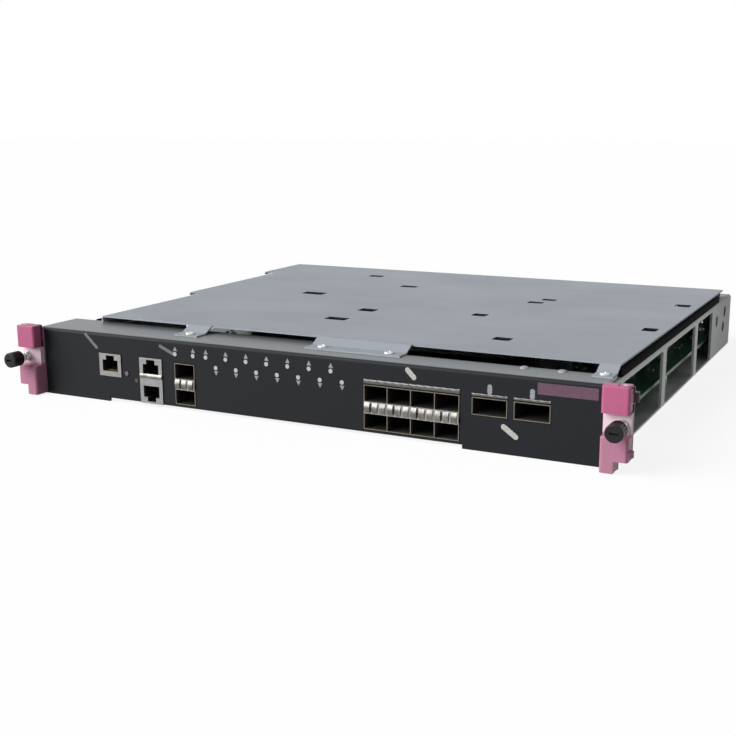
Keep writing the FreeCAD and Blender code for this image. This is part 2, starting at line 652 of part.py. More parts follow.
def ejector_lever():
    """Right ejector lever: a moulded handle that turns on its pin between the bracket's lugs, with a
    hooked claw past the panel's end and a finger scoop behind its free edge."""
    handle = ear_outline(LEVER_BACK, PIN_INSET, LEVER_FOOT).extrude(Vector(0, 0, LEVER_TOP - LEVER_FOOT))
    handle = handle.makeFillet(LEVER_EDGE, level_edges(handle, LEVER_TOP))
    hook = CLAW_SHEET + NIB_REACH
    claw = [
        box(EAR_OUT - CLAW_SHEET, EAR_OUT, PIN_Y, CLAW_BACK - hook / 2, CLAW_FOOT, CLAW_TOP),
        rod_z(EAR_OUT - CLAW_SHEET + hook / 2, CLAW_BACK - hook / 2, hook / 2, CLAW_FOOT, CLAW_TOP),
    ]
    lug_side = PIN_X - LUG_RADIUS - SEAT_GAP
    lug_front = EAR_FRONT + LEVER_RIM
    scoop_low, scoop_high = LEVER_FOOT + SCOOP_INSET, LEVER_TOP - SCOOP_INSET
    cutters = [
        box(lug_side, EAR_OUT + 1, lug_front, PANEL_Y, LEVER_TOP - LUG_ROOM, LEVER_TOP + 1),
        box(lug_side, EAR_OUT + 1, lug_front, PANEL_Y, LEVER_FOOT - 1, LEVER_FOOT + LUG_ROOM),
        rod_z(EAR_IN, LEVER_BACK + SCOOP_RADIUS / 2, SCOOP_RADIUS, scoop_low, scoop_high),
        rod_z(PIN_X, PIN_Y, PIN_RADIUS + RUNNING_FIT, LEVER_FOOT - 1, LEVER_TOP + 1),
    ]
    return fused([handle] + claw).cut(cutters)


def lever_pin():
    """Right lever pin: a dowel through both lugs of the bracket."""
    return rod_z(PIN_X, PIN_Y, PIN_RADIUS, LEVER_FOOT, LEVER_TOP)


def end_block():
    """Right end block: the fixed moulding below the captive screw, stepped below, with a guide nib at
    its side and a web that stands up behind the knob, round the ferrule."""
    block = ear_outline(BRACKET_FRONT, LEVER_EDGE, BLOCK_FOOT)
    block = block.extrude(Vector(0, 0, BLOCK_TOP - BLOCK_FOOT))
    block = block.makeFillet(LEVER_EDGE, level_edges(block, BLOCK_TOP))
    web_front = PANEL_Y - WEB_PROUD
    web = box(EAR_IN, EAR_OUT, web_front, BRACKET_FRONT, BLOCK_TOP - 2 * LEVER_EDGE, LEVER_FOOT - SEAT_GAP)
    hole = rod_y(SCREW_X, SCREW_HEIGHT, FERRULE_FLANGE + RUNNING_FIT, web_front - 1, BRACKET_FRONT + 1)
    nib_low, nib_high = BLOCK_NIB
    nib = rod_z(EAR_OUT - NIB_REACH, (EAR_FRONT + BRACKET_FRONT) / 2, 2 * NIB_REACH, nib_low, nib_high)
    return fused([block.cut(corner_notch()), web, nib]).cut(hole)


def screw_ferrule():
    """Right ferrule: a flanged bush pressed through the bracket and the panel."""
    bush = fused([
        rod_y(SCREW_X, SCREW_HEIGHT, FERRULE_FLANGE, FERRULE_FACE, BRACKET_FRONT),
        rod_y(SCREW_X, SCREW_HEIGHT, FERRULE_RADIUS, BRACKET_FRONT, PANEL_BACK + FERRULE_TAIL),
    ])
    bore = SHANK_RADIUS + RUNNING_FIT
    return bush.cut(rod_y(SCREW_X, SCREW_HEIGHT, bore, FERRULE_FACE - 1, PANEL_BACK + FERRULE_TAIL + 1))


def screw_collar():
    """Right collar: the washer in the knob's hollow that takes the spring's push."""
    ring = rod_y(SCREW_X, SCREW_HEIGHT, COLLAR_RADIUS, COLLAR_FRONT, COLLAR_BACK)
    bore = SHANK_RADIUS + RUNNING_FIT
    return ring.cut(rod_y(SCREW_X, SCREW_HEIGHT, bore, COLLAR_FRONT - 1, COLLAR_BACK + 1))


def screw_spring():
    """Right spring: an open coil from the collar inside the knob to the ferrule's flange."""
    start = COLLAR_BACK + SPRING_WIRE
    length = FERRULE_FACE - SPRING_WIRE - start
    coil = Part.makeHelix(length / SPRING_TURNS, length, SPRING_RADIUS)
    corners = []
    for k in range(WIRE_SIDES + 1):
        a = 2 * math.pi * k / WIRE_SIDES
        corners.append(Vector(SPRING_RADIUS + SPRING_WIRE * math.cos(a), 0, SPRING_WIRE * math.sin(a)))
    wire = Part.Wire(coil.Edges).makePipeShell([Part.makePolygon(corners)], True, True)
    wire.rotate(Vector(0, 0, 0), Vector(1, 0, 0), -90)
    wire.translate(Vector(SCREW_X, start, SCREW_HEIGHT))
    return wire


def thumb_knob():
    """Right thumb knob: a hollow moulded head with grip flutes, a driver slot and a softened rim."""
    knob = rod_y(SCREW_X, SCREW_HEIGHT, KNOB_RADIUS, KNOB_FACE, KNOB_BACK)
    rim = [edge for edge in knob.Edges if edge.BoundBox.YMax < KNOB_FACE + 0.1]
    knob = knob.makeFillet(LEVER_EDGE, rim)
    cutters = []
    for k in range(KNOB_RIBS):
        a = 2 * math.pi * k / KNOB_RIBS
        x = SCREW_X + KNOB_RADIUS * math.cos(a)
        z = SCREW_HEIGHT + KNOB_RADIUS * math.sin(a)
        cutters.append(rod_y(x, z, KNOB_RIB_RADIUS, KNOB_FACE + 2 * LEVER_EDGE, KNOB_BACK - LEVER_EDGE))
    half = KNOB_SLOT / 2
    cutters.append(box(SCREW_X - KNOB_RADIUS / 2, SCREW_X + KNOB_RADIUS / 2, KNOB_FACE - 1,
                       KNOB_FACE + KNOB_SLOT_DEPTH, SCREW_HEIGHT - half, SCREW_HEIGHT + half))
    cutters.append(rod_y(SCREW_X, SCREW_HEIGHT, COLLAR_RADIUS + SEAT_GAP, COLLAR_FRONT, KNOB_BACK + 1))
    cutters.append(rod_y(SCREW_X, SCREW_HEIGHT, SHANK_RADIUS, KNOB_FACE + SHANK_ROOT, KNOB_BACK + 1))
    return knob.cut(cutters)


def screw_shank():
    """Right screw shank: a round steel shank with a pointed end."""
    shank = rod_y(SCREW_X, SCREW_HEIGHT, SHANK_RADIUS, KNOB_FACE + SHANK_ROOT, PANEL_Y + SHANK_TIP)
    tip = [edge for edge in shank.Edges if edge.BoundBox.YMin > PANEL_Y + SHANK_TIP - 0.1]
    return shank.makeChamfer(SHANK_RADIUS / 3, tip)


def reset_button():
    """Reset plunger: a round button kept behind the panel by its collar, its stem in the switch."""
    stem_end = PANEL_Y + SWITCH_FRONT + SWITCH_BORE_DEPTH - RESET_TRAVEL - SEAT_GAP
    collar = PANEL_BACK + SEAT_GAP
    return fused([
        rod_y(RESET_X, RESET_Z, RESET_RADIUS, PANEL_Y - RESET_PROUD, stem_end),
        rod_y(RESET_X, RESET_Z, RESET_COLLAR, collar, collar + RESET_TRAVEL),
    ])


def reset_switch():
    """Push switch on the board behind the reset button."""
    half = SWITCH_SIZE / 2
    front = PANEL_Y + SWITCH_FRONT
    top = BOARD_TOP + SWITCH_SIZE
    body = box(RESET_X - half, RESET_X + half, front, front + SWITCH_SIZE, BOARD_TOP, top)
    bore = RESET_RADIUS + RUNNING_FIT
    return body.cut(rod_y(RESET_X, RESET_Z, bore, front - 1, front + SWITCH_BORE_DEPTH))


def jack(x, upper, lipped=False):
    """Shielded modular jack on one face of the board, its latch channel away from the board. With
    lipped its shield reaches down over the board's front edge to the jack below."""
    base = UPPER_JACK_BASE if upper else LOWER_BASE
    face, start, plug, way = port_levels(upper, base, JACK_PLUG_HEIGHT)
    latch = plug + way * JACK_LATCH
    roof = latch + way * JACK_ROOF
    front = PANEL_Y - JACK_PROUD

    def slab(width, length, z0, z1, y0=front):
        return box(x - width / 2, x + width / 2, y0, front + length, min(z0, z1), max(z0, z1))

    shell = slab(JACK_WIDTH, JACK_LENGTH, face, roof)
    plug_room = slab(JACK_PLUG, JACK_DEPTH, start, plug, front - 1)
    latch_room = slab(JACK_LATCH_WIDTH, JACK_DEPTH * 0.7, plug, latch, front - 1)
    if lipped:
        lip = slab(JACK_WIDTH, BOARD_FRONT + JACK_PROUD - SEAT_GAP, BOARD_Z, face + way * LOWER_BASE)
        shell = fused([shell, lip])
    return shell.cut([plug_room, latch_room])


def cage(x, columns, pitch, height, length, upper, whole_front):
    """Folded module cage: one port per column, standing on a hollow base. Without whole_front the
    base stays behind the panel and only the port's mouth passes through it."""
    base = UPPER_CAGE_BASE if upper else LOWER_BASE
    face, start, end, way = port_levels(upper, base, height)
    outer = end + way * CAGE_WALL
    front = PANEL_Y - CAGE_PROUD
    back = front + length
    half = (columns * pitch + CAGE_WALL) / 2

    def slab(x0, x1, y0, y1, z0, z1):
        return box(x0, x1, y0, y1, min(z0, z1), max(z0, z1))

    shell = slab(x - half, x + half, front, back, face, outer)
    room = (pitch - CAGE_WALL) / 2
    cutters = []
    for k in range(columns):
        middle = x + (k - (columns - 1) / 2) * pitch
        cutters.append(slab(middle - room, middle + room, front - 1, back - CAGE_WALL, start, end))
    floor = start - way * CAGE_WALL
    inside = half - CAGE_WALL
    if base > 2 * CAGE_WALL:
        cutters.append(slab(x - inside, x + inside, front + CAGE_WALL, back - CAGE_WALL, face - way, floor))
    if not whole_front:
        clear = PANEL_BACK + WINDOW_GAP
        cutters.append(slab(x - half - 1, x + half + 1, front - 1, clear, face - way, floor))
    return shell.cut(cutters)


def sfp_cage(x, columns, upper):
    """Small-form cage with its whole front in the panel's opening."""
    return cage(x, columns, SFP_PITCH, SFP_HEIGHT, SFP_LENGTH, upper, True)


def qsfp_cage(x):
    """Wide cage for an uplink module, above the board."""
    return cage(x, 1, QSFP_WIDTH + CAGE_WALL, QSFP_HEIGHT, QSFP_LENGTH, True, False)


def sfp_columns():
    """Middle x of every small-form port column."""
    yield SFP_PAIR_X
    for k in range(SFP_BANK_COLUMNS):
        yield SFP_BANK_X + (k - (SFP_BANK_COLUMNS - 1) / 2) * SFP_PITCH


def host_connectors():
    """Receptacles at the back of the cages, each with a slot for a module's card edge."""
    ports = [(x, SFP_PITCH, SFP_HEIGHT, SFP_LENGTH, upper) for x in sfp_columns() for upper in (True, False)]
    ports += [(x, QSFP_WIDTH + CAGE_WALL, QSFP_HEIGHT, QSFP_LENGTH, True) for x in QSFP_PLACES]
    solids = []
    for x, pitch, height, length, upper in ports:
        base = UPPER_CAGE_BASE if upper else LOWER_BASE
        face, start, end, way = port_levels(upper, base, height)
        half = (pitch - CAGE_WALL) / 2 - HOST_SIDE
        back = PANEL_Y - CAGE_PROUD + length - CAGE_WALL
        top = start + way * HOST_HEIGHT
        block = box(x - half, x + half, back - HOST_LENGTH, back, min(start, top), max(start, top))
        middle = (start + top) / 2
        inner = half - HOST_SIDE
        slot = box(x - inner, x + inner, back - HOST_LENGTH - 1, back - HOST_LENGTH / 2,
                   middle - HOST_SLOT / 2, middle + HOST_SLOT / 2)
        solids.append(block.cut(slot))
    return Part.makeCompound(solids)


def spring_strip(x, columns):
    """Sprung contact strip across the front of a cage, between its two rows of ports: a zigzag of
    fingers in plan, standing on the cage's front."""
    low = port_levels(False, LOWER_BASE, SFP_HEIGHT)[1]
    high = port_levels(True, UPPER_CAGE_BASE, SFP_HEIGHT)[1]
    back = PANEL_Y - CAGE_PROUD
    reach = columns * SFP_PITCH / 2
    count = int(round(2 * reach / FINGER_PITCH))
    step = 2 * reach / count
    outer = []
    for k in range(count):
        start = x - reach + k * step
        outer.append(Vector(start, back - FINGER_SHEET, low))
        outer.append(Vector(start + step / 2, back - FINGER_REACH, low))
    outer.append(Vector(x + reach, back - FINGER_SHEET, low))
    outline = outer + [Vector(x + reach, back, low), Vector(x - reach, back, low), outer[0]]
    return Part.Face(Part.makePolygon(outline)).extrude(Vector(0, 0, high - low))


def status_lights():
    """Light pipes: round lenses pushed into the panel from behind up to their shoulders."""
    solids = []
    for x, z in light_places():
        lens = rod_y(x, z, LIGHT_RADIUS, PANEL_Y - LIGHT_PROUD, PANEL_Y + BOARD_FRONT - SEAT_GAP)
        shoulder = rod_y(x, z, LIGHT_RADIUS + LIGHT_SHOULDER, PANEL_BACK, PANEL_BACK + 2 * LIGHT_SHOULDER)
        solids.append(fused([lens, shoulder]))
    return Part.makeCompound(solids)


def standoff_places():
    """Middle of each board standoff."""
    front = PANEL_Y + STANDOFF_FRONT
    rear = TRAY_BACK - STANDOFF_REAR
    columns = (BODY_LEFT + STANDOFF_SIDE,) + STANDOFF_MIDDLES + (BODY_RIGHT - STANDOFF_SIDE,)
    return [(x, y) for y in (front, (front + rear) / 2, rear) for x in columns]


def main_board():
    """Circuit board with its fixing holes."""
    board = box(BODY_LEFT + BOARD_EDGE, BODY_RIGHT - BOARD_EDGE, PANEL_Y + BOARD_FRONT,
                TRAY_BACK - BOARD_BACK, BOARD_Z, BOARD_TOP)
    return board.cut([rod_z(x, y, SCREW_RADIUS, BOARD_Z - 1, BOARD_TOP + 1) for x, y in standoff_places()])


def hexagon(x, y, flats, z):
    """Hexagonal face of a given width across flats."""
    radius = flats / math.sqrt(3)
    corners = []
    for k in range(7):
        a = math.pi * k / 3
        corners.append(Vector(x + radius * math.cos(a), y + radius * math.sin(a), z))
    return Part.Face(Part.makePolygon(corners))


def board_standoffs():
    """Hexagonal posts between the tray's floor and the board, each with a spigot in the floor."""
    solids = []
    for x, y in standoff_places():
        post = hexagon(x, y, STANDOFF_FLATS, TRAY_SHEET).extrude(Vector(0, 0, BOARD_Z - TRAY_SHEET))
        spigot = rod_z(x, y, SCREW_RADIUS, 0, TRAY_SHEET)
        bore = rod_z(x, y, SCREW_RADIUS, BOARD_Z - SCREW_BITE, BOARD_Z + 1)
        solids.append(fused([post, spigot]).cut(bore))
    return Part.makeCompound(solids)


def board_screws():
    """Round-headed screws through the board into the standoffs."""
    solids = []
    for x, y in standoff_places():
        head = rod_z(x, y, SCREW_HEAD, BOARD_TOP, BOARD_TOP + SCREW_HEAD_HEIGHT)
        solids.append(fused([head, rod_z(x, y, SCREW_RADIUS, BOARD_Z - SCREW_BITE, BOARD_TOP)]))
    return Part.makeCompound(solids)


def cover_screws():
    """Low-headed screws that hold the cover to the panel's flange and to the rear bridge."""
    solids = []
    for places, seat, grip in ((tab_screw_places(), PANEL_HEIGHT, PANEL_SHEET),
                               (rear_screw_places(), BRIDGE_TOP, BRIDGE_SHEET)):
        under = seat + COVER_SHEET
        for x, y in places:
            head = rod_z(x, y, SCREW_HEAD, under, under + SCREW_HEAD_HEIGHT / 2)
            solids.append(fused([head, rod_z(x, y, SCREW_RADIUS, seat - grip, under)]))
    return Part.makeCompound(solids)


def chip(place):
    """Flat package on the board, with a bevelled lid."""
    x, y, size = place
    half = size / 2
    y += PANEL_Y
    package = box(x - half, x + half, y - half, y + half, BOARD_TOP, BOARD_TOP + CHIP_HEIGHT)
    return package.makeChamfer(CHIP_HEIGHT / 4, level_edges(package, BOARD_TOP + CHIP_HEIGHT))


def heat_sink(place, size):
    """Finned cooler on a chip; the fins run from side to side, along the air flow."""
    x, y = place[0], place[1] + PANEL_Y
    half = size / 2
    seat = BOARD_TOP + CHIP_HEIGHT
    top = COVER_TOP - COVER_SHEET - SINK_CLEARANCE
    base = box(x - half, x + half, y - half, y + half, seat, seat + SINK_BASE)
    count = int((size - SINK_FIN) // SINK_FIN_PITCH) + 1
    first = y - (count - 1) * SINK_FIN_PITCH / 2
    fins = [box(x - half, x + half, first + k * SINK_FIN_PITCH - SINK_FIN / 2,
                first + k * SINK_FIN_PITCH + SINK_FIN / 2, seat + SINK_BASE, top) for k in range(count)]
    return fused([base] + fins)


def memory_socket():
    """Low socket at the rear edge of the memory module, with an arm along each side."""
    x, y = MEMORY[0], MEMORY[1] + PANEL_Y
    half = MEMORY_SIZE[0] / 2
    back = y + MEMORY_SIZE[1] / 2
    front = y - MEMORY_SIZE[1] / 2
    top = BOARD_TOP + MEMORY_RISE + 2 * MEMORY_SHEET
    wide = half + SEAT_GAP + MEMORY_SHEET
    bar = box(x - wide, x + wide, back - SOCKET_LENGTH / 2, back + SOCKET_LENGTH, BOARD_TOP, top)
    arms = [box(x + way * (half + SEAT_GAP) - (MEMORY_SHEET if way < 0 else 0),
                x + way * (half + SEAT_GAP) + (MEMORY_SHEET if way > 0 else 0),
                front, back, BOARD_TOP, top) for way in (-1, 1)]
    slot = box(x - half - SEAT_GAP, x + half + SEAT_GAP, front, back + MEMORY_SHEET, BOARD_TOP + MEMORY_RISE,
               BOARD_TOP + MEMORY_RISE + MEMORY_SHEET)
    return fused([bar] + arms).cut(slot)


def memory_module():
    """Memory card lying in its socket, with a row of packages on its upper side."""
    x, y = MEMORY[0], MEMORY[1] + PANEL_Y
    half, deep = MEMORY_SIZE[0] / 2, MEMORY_SIZE[1] / 2
    level = BOARD_TOP + MEMORY_RISE
    card = box(x - half, x + half, y - deep, y + deep, level, level + MEMORY_SHEET)
    count = 4
    pitch = MEMORY_SIZE[0] / count
    size = pitch * 0.7
    packages = [box(x - half + (k + 0.5) * pitch - size / 2, x - half + (k + 0.5) * pitch + size / 2,
                    y - deep * 0.7, y + deep * 0.3, level + MEMORY_SHEET, level + 2 * MEMORY_SHEET)
                for k in range(count)]
    return fused([card] + packages)


def power_converter():
    """Brick converter with cooling grooves across its lid."""
    x, y = BODY_RIGHT - CONVERTER[0], CONVERTER[1] + PANEL_Y
    wide, long, high = CONVERTER_SIZE
    top = BOARD_TOP + high
    brick = box(x - wide / 2, x + wide / 2, y - long / 2, y + long / 2, BOARD_TOP, top)
    pitch = SINK_FIN_PITCH
    count = int(long // pitch) - 1
    grooves = [box(x - wide, x + wide, y - (count - 1) * pitch / 2 + k * pitch - SINK_FIN / 2,
                   y - (count - 1) * pitch / 2 + k * pitch + SINK_FIN / 2, top - high / 4, top + 1)
               for k in range(count)]
    return brick.cut(grooves)


def power_coils():
    """Row of moulded coils beside the converter."""
    inset, pitch, count, y = COIL_ROW
    half = COIL_SIZE[0] / 2
    top = BOARD_TOP + COIL_SIZE[1]
    solids = []
    for k in range(count):
        x = BODY_RIGHT - inset + k * pitch
        coil = box(x - half, x + half, PANEL_Y + y - half, PANEL_Y + y + half, BOARD_TOP, top)
        solids.append(coil.makeChamfer(half / 5, level_edges(coil, top)))
    return Part.makeCompound(solids)


def capacitors():
    """Row of upright capacitor cans."""
    inset, pitch, count, y = CAN_ROW
    return Part.makeCompound([rod_z(BODY_RIGHT - inset + k * pitch, PANEL_Y + y, CAN_RADIUS,
                                    BOARD_TOP, BOARD_TOP + CAN_HEIGHT) for k in range(count)])


def cell_holder():
    """Open cup that holds the clock cell on the board."""
    x, y = BODY_LEFT + CELL[0], CELL[1] + PANEL_Y
    outer = CELL_RADIUS + SEAT_GAP + HOLDER_WALL
    cup = rod_z(x, y, outer, BOARD_TOP, BOARD_TOP + HOLDER_WALL + CELL_HEIGHT * 0.7)
    return cup.cut(rod_z(x, y, CELL_RADIUS + SEAT_GAP, BOARD_TOP + HOLDER_WALL, BOARD_TOP + CAN_HEIGHT))


def clock_cell():
    """Coin cell that keeps the clock running."""
    x, y = BODY_LEFT + CELL[0], CELL[1] + PANEL_Y
    return rod_z(x, y, CELL_RADIUS, BOARD_TOP + HOLDER_WALL, BOARD_TOP + HOLDER_WALL + CELL_HEIGHT)


def rear_block(x, width):
    """Backplane connector shell on the board, open to the rear, with upright wafers inside."""
    back = REAR_Y - SIGNAL_BACK
    half = width / 2
    top = BOARD_TOP + SIGNAL_HEIGHT
    shell = box(x - half, x + half, back - SIGNAL_LENGTH, back, BOARD_TOP, top)
    inner = half - SIGNAL_WALL
    return shell.cut(box(x - inner, x + inner, back - SIGNAL_POCKET, back + 1,
                         BOARD_TOP + SIGNAL_WALL, top - SIGNAL_WALL))


def wafers(x, width, count):
    """Upright contact wafers inside a rear connector shell."""
    back = REAR_Y - SIGNAL_BACK
    inner = width - 2 * SIGNAL_WALL
    pitch = inner / count
    low = BOARD_TOP + SIGNAL_WALL
    high = BOARD_TOP + SIGNAL_HEIGHT - SIGNAL_WALL
    for k in range(count):
        middle = x - inner / 2 + (k + 0.5) * pitch
        yield box(middle - WAFER_SHEET / 2, middle + WAFER_SHEET / 2, back - SIGNAL_POCKET,
                  back - SIGNAL_WALL, low, high)


def signal_connectors():
    """Row of signal connectors along the board's rear edge."""
    first = SIGNAL_X - (SIGNAL_COUNT - 1) * SIGNAL_PITCH / 2
    solids = []
    for k in range(SIGNAL_COUNT):
        x = first + k * SIGNAL_PITCH
        solids.append(fused([rear_block(x, SIGNAL_WIDTH)] + list(wafers(x, SIGNAL_WIDTH, WAFER_COUNT))))
    return Part.makeCompound(solids)


def power_connector():
    """Power connector at the rear: a wide shell."""
    return rear_block(POWER_X, POWER_WIDTH)


def power_blades():
    """Blades of the power connector, standing in its shell."""
    return Part.makeCompound(list(wafers(POWER_X, POWER_WIDTH, POWER_BLADES)))


def guide_socket(x):
    """Guide socket: a block on the board with a flared bore that takes the chassis's guide pin."""
    half = GUIDE_SIZE / 2
    block = box(x - half, x + half, REAR_Y - GUIDE_LENGTH, REAR_Y, BOARD_TOP, BOARD_TOP + GUIDE_SIZE)
    rear = [edge for edge in block.Edges if edge.BoundBox.YMin > REAR_Y - 0.01]
    block = block.makeChamfer(GUIDE_CHAMFER, rear)
    z = BOARD_TOP + half
    bore = rod_y(x, z, GUIDE_BORE, REAR_Y - GUIDE_BORE_DEPTH, REAR_Y + 1)
    flare = Part.makeCone(GUIDE_BORE, GUIDE_BORE + GUIDE_CHAMFER, GUIDE_CHAMFER,
                          Vector(x, REAR_Y - GUIDE_CHAMFER, z), Vector(0, 1, 0))
    return block.cut([bore, flare])


NODES = {
    "base_tray": base_tray(),
    "top_cover": top_cover(),
    "rear_bridge": rear_bridge(),
    "faceplate": faceplate(),
    "main_board": main_board(),
    "board_standoffs": board_standoffs(),
    "board_screws": board_screws(),
    "cover_screws": cover_screws(),
    "console_jack": jack(CONSOLE_X, True),
    "management_jack_upper": jack(MANAGEMENT_X, True, True),
    "management_jack_lower": jack(MANAGEMENT_X, False),
    "sfp_pair_upper": sfp_cage(SFP_PAIR_X, 1, True),
    "sfp_pair_lower": sfp_cage(SFP_PAIR_X, 1, False),
    "sfp_bank_upper": sfp_cage(SFP_BANK_X, SFP_BANK_COLUMNS, True),
    "sfp_bank_lower": sfp_cage(SFP_BANK_X, SFP_BANK_COLUMNS, False),
    "pair_spring_strip": spring_strip(SFP_PAIR_X, 1),
    "bank_spring_strip": spring_strip(SFP_BANK_X, SFP_BANK_COLUMNS),
    "uplink_cage_inner": qsfp_cage(QSFP_PLACES[0]),
    "uplink_cage_outer": qsfp_cage(QSFP_PLACES[1]),
    "host_connectors": host_connectors(),
    "status_lights": status_lights(),
    "reset_button": reset_button(),
    "reset_switch": reset_switch(),
    "processor_chip": chip(PROCESSOR),
    "processor_heat_sink": heat_sink(PROCESSOR, PROCESSOR_SINK),
    "switch_chip": chip(SWITCH),
    "switch_heat_sink": heat_sink(SWITCH, SWITCH_SINK),
    "memory_socket": memory_socket(),
    "memory_module": memory_module(),
    "power_converter": power_converter(),
    "power_coils": power_coils(),
    "capacitors": capacitors(),
    "cell_holder": cell_holder(),
    "clock_cell": clock_cell(),
    "signal_connectors": signal_connectors(),
    "power_connector": power_connector(),
    "power_blades": power_blades(),
    "guide_socket_left": guide_socket(BODY_LEFT + GUIDE_SIDE),
    "guide_socket_right": guide_socket(BODY_RIGHT - GUIDE_SIDE),
}

END_PIECES = {
    "ear_bracket": ear_bracket,
    "ejector_lever": ejector_lever,
    "lever_pin": lever_pin,
    "end_block": end_block,
    "screw_ferrule": screw_ferrule,
    "screw_collar": screw_collar,
    "screw_spring": screw_spring,
    "thumb_knob": thumb_knob,
    "screw_shank": screw_shank,
}
for name, make in END_PIECES.items():
    right_hand = make()
    NODES[name + "_right"] = right_hand
    NODES[name + "_left"] = left_of(right_hand)

os.makedirs("parts", exist_ok=True)
for name, shape in NODES.items():
    shape.exportStep(os.path.join("parts", name + ".step"))
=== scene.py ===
import math

import bpy
import numpy as np
from mathutils import Matrix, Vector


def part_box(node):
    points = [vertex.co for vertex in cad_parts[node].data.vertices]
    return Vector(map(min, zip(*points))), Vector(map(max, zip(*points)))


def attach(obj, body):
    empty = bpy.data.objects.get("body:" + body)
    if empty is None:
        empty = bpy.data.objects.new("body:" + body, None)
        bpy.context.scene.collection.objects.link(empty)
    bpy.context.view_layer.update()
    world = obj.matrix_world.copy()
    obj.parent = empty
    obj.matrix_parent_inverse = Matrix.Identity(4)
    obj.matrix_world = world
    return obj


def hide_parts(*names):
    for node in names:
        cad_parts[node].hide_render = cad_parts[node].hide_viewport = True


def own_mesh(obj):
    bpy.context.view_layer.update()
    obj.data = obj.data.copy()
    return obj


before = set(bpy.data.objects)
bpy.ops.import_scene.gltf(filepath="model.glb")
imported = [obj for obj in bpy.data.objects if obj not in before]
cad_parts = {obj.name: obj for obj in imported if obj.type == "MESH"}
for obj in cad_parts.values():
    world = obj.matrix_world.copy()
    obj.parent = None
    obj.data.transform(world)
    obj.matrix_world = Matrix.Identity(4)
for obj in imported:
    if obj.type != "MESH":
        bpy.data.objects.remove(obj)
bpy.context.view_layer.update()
scene = bpy.context.scene

# Tray: one zinc-plated steel sheet, punched with air windows and folded up at both sides, with
# painted shade that darkens it towards the rear. The plating leaves a faint spangle; the rear
# bridge is cut from the same stock and screwed across the rails.
mm = 0.001


def corners(part):
    """Low and high corners of a CAD node's box, in mm."""
    return np.array(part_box(part)) / mm


def surface(made):
    """Surface shader of a material."""
    return made.node_tree.nodes["Principled BSDF"]


def add_node(made, kind, **settings):
    """Adds a node to a material and sets the sockets that are named, with _ for each space."""
    added = made.node_tree.nodes.new("ShaderNode" + kind)
    for socket, setting in settings.items():
        added.inputs[socket.replace("_", " ")].default_value = setting
    return added


def link(made, *pairs):
    """Links outputs to inputs between a material's nodes, pair by pair."""
    for source, target in pairs:
        made.node_tree.links.new(source, target)


def finish(name, dark, light, rough, metal=0.0, grain=300.0, stretch=(1, 1, 1), relief=0.0,
           cells=False, shine=0.5):
    """Material whose tone, roughness and relief follow one pattern in object coordinates: noise, or
    cells. The tone goes from dark to light over the middle of the pattern's range, the roughness
    over all of it."""
    made = bpy.data.materials.new(name)
    made.use_nodes = True
    face = surface(made)
    face.inputs["Metallic"].default_value = metal
    face.inputs["Specular IOR Level"].default_value = shine
    place = add_node(made, "TexCoord")
    lay = add_node(made, "Mapping", Scale=stretch)
    if cells:
        value = add_node(made, "TexVoronoi", Scale=grain, Detail=0.0).outputs["Color"]
    else:
        value = add_node(made, "TexNoise", Scale=grain, Detail=4.0).outputs["Fac"]
    tone = add_node(made, "ValToRGB")
    for stop, share, colour in zip(tone.color_ramp.elements, (0.3, 0.7), (dark, light)):
        stop.position = share
        stop.color = (*colour, 1)
    gloss = add_node(made, "MapRange", To_Min=rough[0], To_Max=rough[1])
    link(made,
         (place.outputs["Object"], lay.inputs["Vector"]),
         (lay.outputs["Vector"], value.node.inputs["Vector"]),
         (value, tone.inputs["Fac"]),
         (tone.outputs["Color"], face.inputs["Base Color"]),
         (value, gloss.inputs["Value"]),
         (gloss.outputs["Result"], face.inputs["Roughness"]))
    if relief:
        bump = add_node(made, "Bump", Strength=relief, Distance=0.2 * mm)
        link(made, (value, bump.inputs["Height"]), (bump.outputs["Normal"], face.inputs["Normal"]))
    return made


def dress(made, *parts):
    """Gives one material to CAD nodes."""
    for part in parts:
        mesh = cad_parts[part].data
        mesh.materials.clear()
        mesh.materials.append(made)


def lay_over(made, colour):
    """Mixes a second colour over a material's own and returns the input that takes its share."""
    blend = add_node(made, "Mix")
    blend.data_type = "RGBA"
    blend.inputs["B"].default_value = (*colour, 1)
    tone = surface(made).inputs["Base Color"]
    link(made, (tone.links[0].from_socket, blend.inputs["A"]), (blend.outputs["Result"], tone))
    return blend.inputs["Factor"]


def turn_to(made, axis, start, end, colour, metal=None, most=1.0):
    """Carries a material over to another colour, and to another metalness if one is given, in
    proportion to the way along one object axis from start to end, in mm; most is the new colour's
    share at the end."""
    place = add_node(made, "TexCoord")
    parts = add_node(made, "SeparateXYZ")
    reach = {"From_Min": start * mm, "From_Max": end * mm}
    share = add_node(made, "MapRange", To_Max=most, **reach)
    link(made,
         (place.outputs["Object"], parts.inputs["Vector"]),
         (parts.outputs[axis], share.inputs["Value"]),
         (share.outputs["Result"], lay_over(made, colour)))
    if metal is not None:
        metallic = surface(made).inputs["Metallic"]
        plating = add_node(made, "MapRange", To_Min=metallic.default_value, To_Max=metal, **reach)
        link(made,
             (parts.outputs[axis], plating.inputs["Value"]),
             (plating.outputs["Result"], metallic))


face_y = corners("faceplate")[0][1]
spangle = 210
zinc = finish("zinc_sheet", (0.265, 0.280, 0.275), (0.300, 0.316, 0.310), (0.55, 0.66), metal=0.3,
              grain=spangle, cells=True)
dress(zinc, "rear_bridge")
tray = finish("tray_zinc", (0.325, 0.343, 0.335), (0.370, 0.388, 0.380), (0.48, 0.58), metal=0.6,
              grain=spangle, cells=True)
# Painted shade: the tray turns towards near black, up to over half of the way, from 240 to 325 mm
# behind the panel's face.
painted_shade_from, painted_shade_to, painted_shade_share = face_y + 240.0, face_y + 325.0, 0.58
turn_to(tray, "Y", painted_shade_from, painted_shade_to, (0.060, 0.064, 0.064), most=painted_shade_share)
dress(tray, "base_tray")

